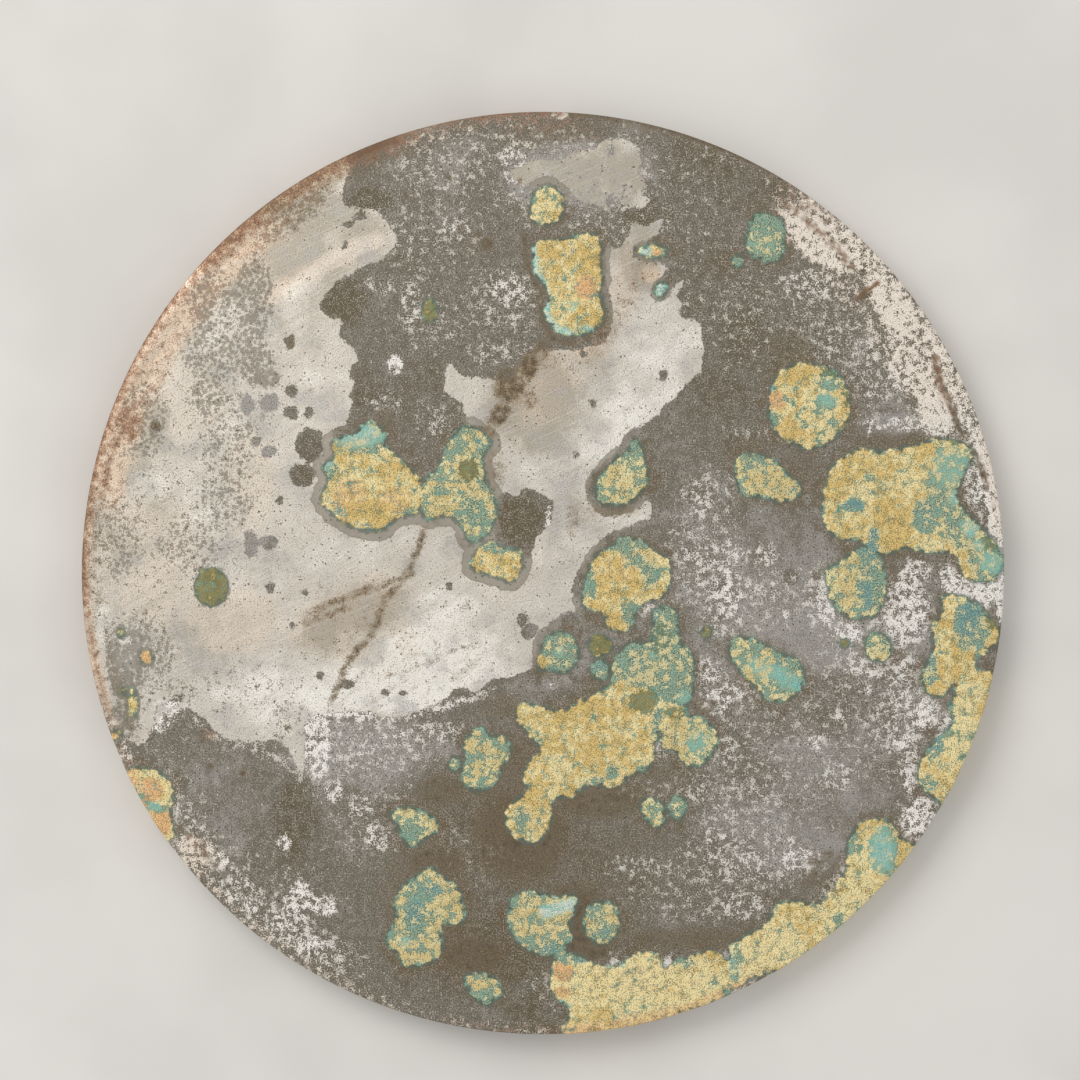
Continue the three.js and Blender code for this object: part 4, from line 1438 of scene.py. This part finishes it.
@dataclass(frozen=True)
class PatinatedBronze:
    """High-tin bronze: silvery polish, dull metal, pale flakes, brown stains and mineral crusts, with painted
    highlights, shade and shadow.
    """

    polished: Colour = tint("f2efe7")
    polished_shade: Colour = tint("d2cbc0")
    polished_dim: Colour = tint("b0a89a")
    polished_warm: Colour = tint("e2c9ae")
    polished_cool: Colour = tint("b9b8b9")
    pore: Colour = tint("7f786c")
    dark_metal: Colour = tint("60553e")
    metal: Colour = tint("726b5e")
    pale_metal: Colour = tint("9b9792")
    grain_light: Colour = tint("b5afa4")
    grain_dark: Colour = tint("3c372e")
    dust: Colour = tint("aea89f")
    flake: Colour = tint("c6c1b6")
    flake_bright: Colour = tint("efebe5")
    flake_warm: Colour = tint("e6d6c2")
    stain: Colour = tint("6b593a")
    stain_pale: Colour = tint("806c49")
    stain_red: Colour = tint("a5785a")
    soot: Colour = tint("3a3226")
    # Burnt brown of warm specks, also of the painted shade on the rim's outer edge.
    burnt_and_rim_shade: Colour = tint("59391f")
    halo: Colour = tint("8b8477")
    ochre: Colour = tint("e2c47c")
    ochre_pale: Colour = tint("f8e6ac")
    ochre_grain: Colour = tint("7a744d")
    orange: Colour = tint("efbf88")
    cream: Colour = tint("dcdcb2")
    moss: Colour = tint("8d8e68")
    verdigris: Colour = tint("556d60")
    verdigris_pale: Colour = tint("aabda0")
    # Grey-green edging inside the crusts; the same colour paints the shadow just outside them.
    edge: Colour = tint("58695f")
    cyan: Colour = tint("86c6b9")
    # Chalky white crust, also a painted highlight on the south crust's top.
    chalk_and_highlight: Colour = tint("d8e6da")
    blue: Colour = tint("5b8a92")
    olive: Colour = tint("6d6f45")

    def dull(self, bench: NodeBench, trace: dict[Trace, Wire], grain: Grain) -> Wire:
        """Dull metal with its light and dark grain, and the pale flakes where polish comes through.

        Args:
            bench: Where the nodes go.
            trace: The surface's attributes.
            grain: The shared patterns.

        Returns:
            The colour.
        """
        tone = trace[Trace.TONE] + grain.broad * 0.14 + grain.mid * 0.08
        metal = bench.mix(tone.step(-1.0, 0.0), self.dark_metal, self.metal)
        metal = bench.mix(tone.step(0.0, 1.0), metal, self.pale_metal)
        metal = bench.mix((grain.fine + grain.mid * 0.5).step(0.4, 1.8) * 0.5, metal, self.grain_light)
        metal = bench.mix((grain.fine * -1.0).step(0.2, 1.6) * 0.45, metal, self.grain_dark)
        spread = bench.noise(grain.place, 1.4, 3.0, 0.66) * 0.8 + grain.net * 1.1 + trace[Trace.BLOOM] * 3.0
        most_dust = trace[Trace.BLOOM].step(0.6, 1.1) * 0.36 + 0.56
        dust = (spread + grain.fine * 0.6 - 2.3).step(-0.9, 0.9) * most_dust
        metal = bench.mix(dust, metal, bench.mix(trace[Trace.WARMTH], self.dust, self.flake_warm))
        flakes = (spread + grain.fine * 0.6 - 2.75).step(-0.3, 0.3)
        flake = bench.mix(trace[Trace.BLOOM].step(0.45, 0.95), self.flake, self.flake_bright)
        flake = bench.mix(trace[Trace.WARMTH] * 0.8, flake, self.flake_warm)
        flake = bench.mix((grain.fine * -1.0).step(0.5, 1.8) * 0.6, flake, self.pore)
        return bench.mix(flakes, metal, flake)

    def bright(self, bench: NodeBench, trace: dict[Trace, Wire], grain: Grain) -> Wire:
        """Polished metal: dim to bright by its sheen, tinged warm and cool, brushed and finely pitted.

        Args:
            bench: Where the nodes go.
            trace: The surface's attributes.
            grain: The shared patterns.

        Returns:
            The colour.
        """
        sheen = trace[Trace.SHEEN] + grain.broad * 0.26 + grain.mid * 0.16
        metal = bench.mix(sheen.step(-1.0, 0.0), self.polished_dim, self.polished_shade)
        metal = bench.mix(sheen.step(0.0, 1.0), metal, self.polished)
        warmth = trace[Trace.WARMTH] + grain.mid * 0.07 + grain.broad * 0.06
        metal = bench.mix(warmth.step(0.0, 1.0) * 0.9, metal, self.polished_warm)
        cool = grain.broad * -0.8 + grain.mid * 0.4 - trace[Trace.WARMTH] * 2.0
        metal = bench.mix(cool.step(0.2, 1.8) * 0.45, metal, self.polished_cool)
        hairs = bench.noise(bench.millimetres(grain.flat, (24.0, 0.3), 24.0), 1.0, 1.0)
        metal = bench.mix(hairs.step(1.0, 2.2) * 0.25, metal, self.flake_bright)
        metal = bench.mix((grain.brushed + grain.broad * 0.7).step(0.5, 2.4) * 0.3, metal, self.polished_dim)
        return bench.mix((grain.fine + grain.mid * 0.4).step(0.3, 1.9) * 0.52, metal, self.pore)

    def metal_colour(self, bench: NodeBench, trace: dict[Trace, Wire], grain: Grain, polish: Wire) -> Wire:
        """Dull and bright metal together, with mottling, halos round the crusts, stains and specks of soot,
        painted shadow just outside the crusts and painted shade along the rim's upper and left edge.

        Args:
            bench: Where the nodes go.
            trace: The surface's attributes.
            grain: The shared patterns.
            polish: Where the metal is polished, as a share.

        Returns:
            The colour.
        """
        outside = grain.mid * 0.35 - trace[Trace.CRUST]
        pebbled = grain.grit * 0.6 + trace[Trace.DOTS] * 3.2 - grain.beads * 1.9 - grain.bites * 0.9
        dots = (pebbled - 1.05).step(-0.2, 0.2)
        shown = polish * (1.0 - dots * 0.8)
        metal = bench.mix(shown, self.dull(bench, trace, grain), self.bright(bench, trace, grain))
        near = (trace[Trace.POLISH] + grain.mid * 0.3).step(-1.5, 0.0)
        band = trace[Trace.HALO] + grain.mid * 0.14
        metal = bench.mix(band.step(-0.12, 0.1) * near * 0.75, metal, self.halo)
        metal = bench.mix(band.step(-0.14, -0.02) * band.step(0.3, 0.08) * near * 0.5, metal, self.pore)
        # The rust trace also holds painted shade on the rim's outer edge, so this mask paints it brown there.
        rust = (trace[Trace.RUST] + grain.mid * 0.18 + grain.fine * 0.14).step(0.15, 0.95) * 0.88
        ring = (outside + near * 2.4 + grain.broad * 0.6).step(3.2, -0.4) * (1.0 - trace[Trace.OLIVE]) * 0.6
        ring = ring * (1.0 - trace[Trace.BLOOM].step(0.7, 1.1) * 0.8)
        rusty = bench.mix(near, self.stain, self.stain_pale)
        rusty = bench.mix((trace[Trace.WARMTH] + grain.mid * 0.1).step(0.3, 0.9) * 0.9, rusty, self.stain_red)
        rusty = bench.mix((grain.fine + grain.mid * 0.5).step(0.2, 1.8) * 0.5, rusty, self.dust)
        rusty = bench.mix((grain.fine * -1.0).step(0.3, 1.6) * 0.4, rusty, self.soot)
        metal = bench.mix(rust.most(ring), metal, rusty)
        # A grey-green line just outside each crust: painted shadow of the crust's raised edge.
        metal = bench.mix(outside.step(0.5, 0.0) * 0.6, metal, self.edge)
        # Where the rust trace passes 1 on the rim's outer edge, the specks run together into solid painted
        # shade.
        specks = (grain.grit + trace[Trace.RUST] * 3.0 - 3.3).step(-0.25, 0.35)
        pits = (0.1 - grain.bites).step(0.0, 0.03) * (grain.mid + grain.broad).step(0.0, 1.0)
        char_and_rim_shade = bench.mix(trace[Trace.WARMTH].step(0.2, 0.7), self.soot, self.burnt_and_rim_shade)
        return bench.mix(specks.most(pits) * 0.8, metal, char_and_rim_shade)

    def mineral_colour(self, bench: NodeBench, trace: dict[Trace, Wire], grain: Grain, depth: Wire) -> Wire:
        """Sandy crust: ochre, broken into green, olive, blue and cyan grains by the attributes.

        Args:
            bench: Where the nodes go.
            trace: The surface's attributes.
            grain: The shared patterns.
            depth: Millimetres inside the crust's ragged edge.

        Returns:
            The colour.
        """
        sand = grain.fine * 0.2 + grain.mid * 0.35 + grain.broad * 0.3 + grain.net * 1.3
        spray = sand + grain.fine * 0.7
        lumps = grain.mid + grain.broad + trace[Trace.BLOOM] * 2.5
        ochre = bench.mix(lumps.step(-1.4, 2.2), self.ochre, self.ochre_pale)
        ochre = bench.mix((trace[Trace.WARMTH] + sand * 0.2).step(0.2, 0.8), ochre, self.orange)
        ochre = bench.mix(trace[Trace.VERDIGRIS].step(0.2, 0.8) * 0.7, ochre, self.cream)
        ochre = bench.mix((grain.fine * 0.9 + grain.net * 1.4).step(0.1, 1.3) * 0.85, ochre, self.ochre_grain)
        green = bench.mix((grain.fine * -1.0).step(-0.9, 0.8), self.verdigris, self.verdigris_pale)
        greener = trace[Trace.VERDIGRIS] + depth.step(0.8, 0.2) * 0.4
        green = bench.mix(greener.step(0.1, 0.6), self.moss, green)
        share = trace[Trace.VERDIGRIS] * 2.5 + depth.step(0.8, 0.1) * 0.9 - trace[Trace.OLIVE] * 1.2 + sand
        mineral = bench.mix((share - 1.45).step(-0.5, 0.5), ochre, green)
        olive = (trace[Trace.OLIVE] * 3.2 + sand - 1.5).step(-0.5, 0.5) * 0.8
        mineral = bench.mix(olive, mineral, self.olive)
        blue = (trace[Trace.BLUE] * 2.6 + spray - 2.1).step(-0.6, 0.6) * 0.75
        mineral = bench.mix(blue, mineral, self.blue)
        # Strong cyan turns chalk white; on the south crust's top that white is a painted highlight.
        pale = bench.mix((trace[Trace.CYAN] * 1.3 - spray - 1.3).step(-0.6, 0.8), self.cyan, self.chalk_and_highlight)
        mineral = bench.mix((trace[Trace.CYAN] * 2.8 + spray - 2.2).step(-0.6, 0.6) * 0.85, mineral, pale)
        return bench.mix(depth.step(0.55, 0.05) * 0.75, mineral, self.edge)

    def material(self) -> bpy.types.Material:
        """Builds the finish from the surface's attributes and the shared patterns.

        Returns:
            The material.
        """
        bench = NodeBench("patinated_bronze")
        trace = {name: bench.attribute(name.value) for name in Trace}
        grain = Grain.laid(bench)
        bitten = trace[Trace.POLISH] + grain.fine * 0.1 - grain.bites * 0.9 - grain.beads * 0.5 + 0.6
        polish = bitten.step(-0.05, 0.12)
        depth = trace[Trace.CRUST] + grain.mid * 0.26 + grain.fine * 0.05 - grain.bites * 0.4 + 0.2
        crust = depth.step(-0.06, 0.1)
        metal = self.metal_colour(bench, trace, grain, polish)
        mineral = self.mineral_colour(bench, trace, grain, depth)
        bench.plug(bench.shader.inputs["Base Color"], bench.mix(crust, metal, mineral))
        bench.plug(bench.shader.inputs["Metallic"], (1.0 - crust) * bench.blend(polish, 0.2, 0.5))
        rough = bench.blend(polish, 0.6, 0.42) + grain.fine * 0.02
        bench.plug(bench.shader.inputs["Roughness"], bench.blend(crust, rough, 0.92))
        raised = trace[Trace.CRUST].step(-0.3, 0.6)
        bump = bench.tree.nodes.new("ShaderNodeBump")
        bump.inputs["Distance"].default_value = MM
        lumps = grain.fine * 0.03 + grain.mid * 0.05 - grain.net * 0.09
        bench.plug(bump.inputs["Height"], raised * lumps + grain.fine * 0.005)
        bench.tree.links.new(bump.outputs["Normal"], bench.shader.inputs["Normal"])
        return bench.material


@dataclass(frozen=True)
class PaperFloor:
    """A wide pale floor with a faint mottle."""

    half_width: float = 1.6
    steps: int = 16
    pale: Colour = tint("dedcd8")
    shade: Colour = tint("d5d3cf")

    def build(self) -> bpy.types.Object:
        """Makes the floor at the height that the mirror rests on: a flat grid.

        Returns:
            The floor.
        """
        line = np.linspace(-self.half_width, self.half_width, self.steps + 1)
        x, y = np.meshgrid(line, line)
        numbers = np.arange(x.size).reshape(x.shape)
        near, right = numbers[:-1, :-1].ravel(), numbers[:-1, 1:].ravel()
        far, above = numbers[1:, 1:].ravel(), numbers[1:, :-1].ravel()
        triangles = np.vstack((np.column_stack((near, right, far)), np.column_stack((near, far, above))))
        floor = mesh_object("floor", np.column_stack((x.ravel(), y.ravel(), np.zeros(x.size))), triangles)
        floor.data.materials.append(self.material())
        return floor

    def material(self) -> bpy.types.Material:
        """Pale matt card."""
        bench = NodeBench("pale_card")
        mottle = bench.noise(bench.millimetres(bench.object_place()), 60.0, 3.0)
        card = bench.mix(mottle.step(-2.0, 2.0), self.pale, self.shade)
        bench.plug(bench.shader.inputs["Base Color"], card)
        bench.plug(bench.shader.inputs["Roughness"], 0.9)
        return bench.material


@dataclass(frozen=True)
class Studio:
    """Soft even light and a camera that looks straight down on the mirror."""

    pixel: float
    edge_height: float
    lens: float = 100.0
    sensor: float = 36.0
    surround: float = 0.72
    key_power: float = 10.0
    key_size: float = 0.9
    key_place: tuple[float, float, float] = (-0.75, 0.75, 1.1)

    def light(self) -> None:
        """Sets an even pale surround and one large soft light at the upper left."""
        world = bpy.data.worlds.new("pale_studio")
        bpy.context.scene.world = world
        world.use_nodes = True
        surround = world.node_tree.nodes["Background"]
        surround.inputs["Color"].default_value = (1.0, 0.99, 0.975, 1.0)
        surround.inputs["Strength"].default_value = self.surround
        lamp = bpy.data.lights.new("key", "AREA")
        lamp.energy = self.key_power
        lamp.size = self.key_size
        lamp.color = (1.0, 0.98, 0.95)
        key = bpy.data.objects.new("key", lamp)
        key.location = self.key_place
        over, up, height = self.key_place
        tilt = math.atan2(math.hypot(over, up), height)
        key.rotation_euler = (tilt, 0.0, math.atan2(-over, up) + math.pi)
        bpy.context.scene.collection.objects.link(key)

    def camera(self) -> None:
        """Places the camera so that the disc fills the frame as in the photograph, with its top along +Y.

        The frame's middle is where the disc's centre is off the middle of the photograph, and the distance is
        the frame's width over twice the tangent of half the view.
        """
        width = FRAME_PIXELS * self.pixel
        distance = width * self.lens / self.sensor
        sight = bpy.data.cameras.new("camera")
        sight.lens = self.lens
        sight.sensor_width = self.sensor
        sight.clip_start = 0.01
        camera = bpy.data.objects.new("camera", sight)
        camera.location = (
            (FRAME_PIXELS / 2.0 - DISC_CENTRE[0]) * self.pixel,
            (DISC_CENTRE[1] - FRAME_PIXELS / 2.0) * self.pixel,
            self.edge_height + distance,
        )
        bpy.context.scene.collection.objects.link(camera)
        bpy.context.scene.camera = camera
        bpy.context.scene.view_settings.view_transform = "Standard"


def main() -> None:
    """Builds the studio and the mirror."""
    logging.basicConfig(level=logging.INFO, format="%(name)s: %(message)s")
    low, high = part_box(NODE)
    radius = (high[0] - low[0]) / 2.0
    pixel = 2.0 * radius / DISC_PIXELS
    casting = Casting(radius)
    studio = Studio(pixel, casting.edge_height)
    studio.camera()
    studio.light()
    floor = PaperFloor().build()
    LOG.info("%s: %d triangles", floor.name, len(floor.data.polygons))
    mirror = MirrorBody(casting, PatinaMap(pixel, radius))
    body = mirror.build()
    mirror.dress(body, PatinatedBronze().material())
    LOG.info("%s: %d triangles", body.name, sum(len(face.vertices) - 2 for face in body.data.polygons))


if __name__ == "__main__":
    main()
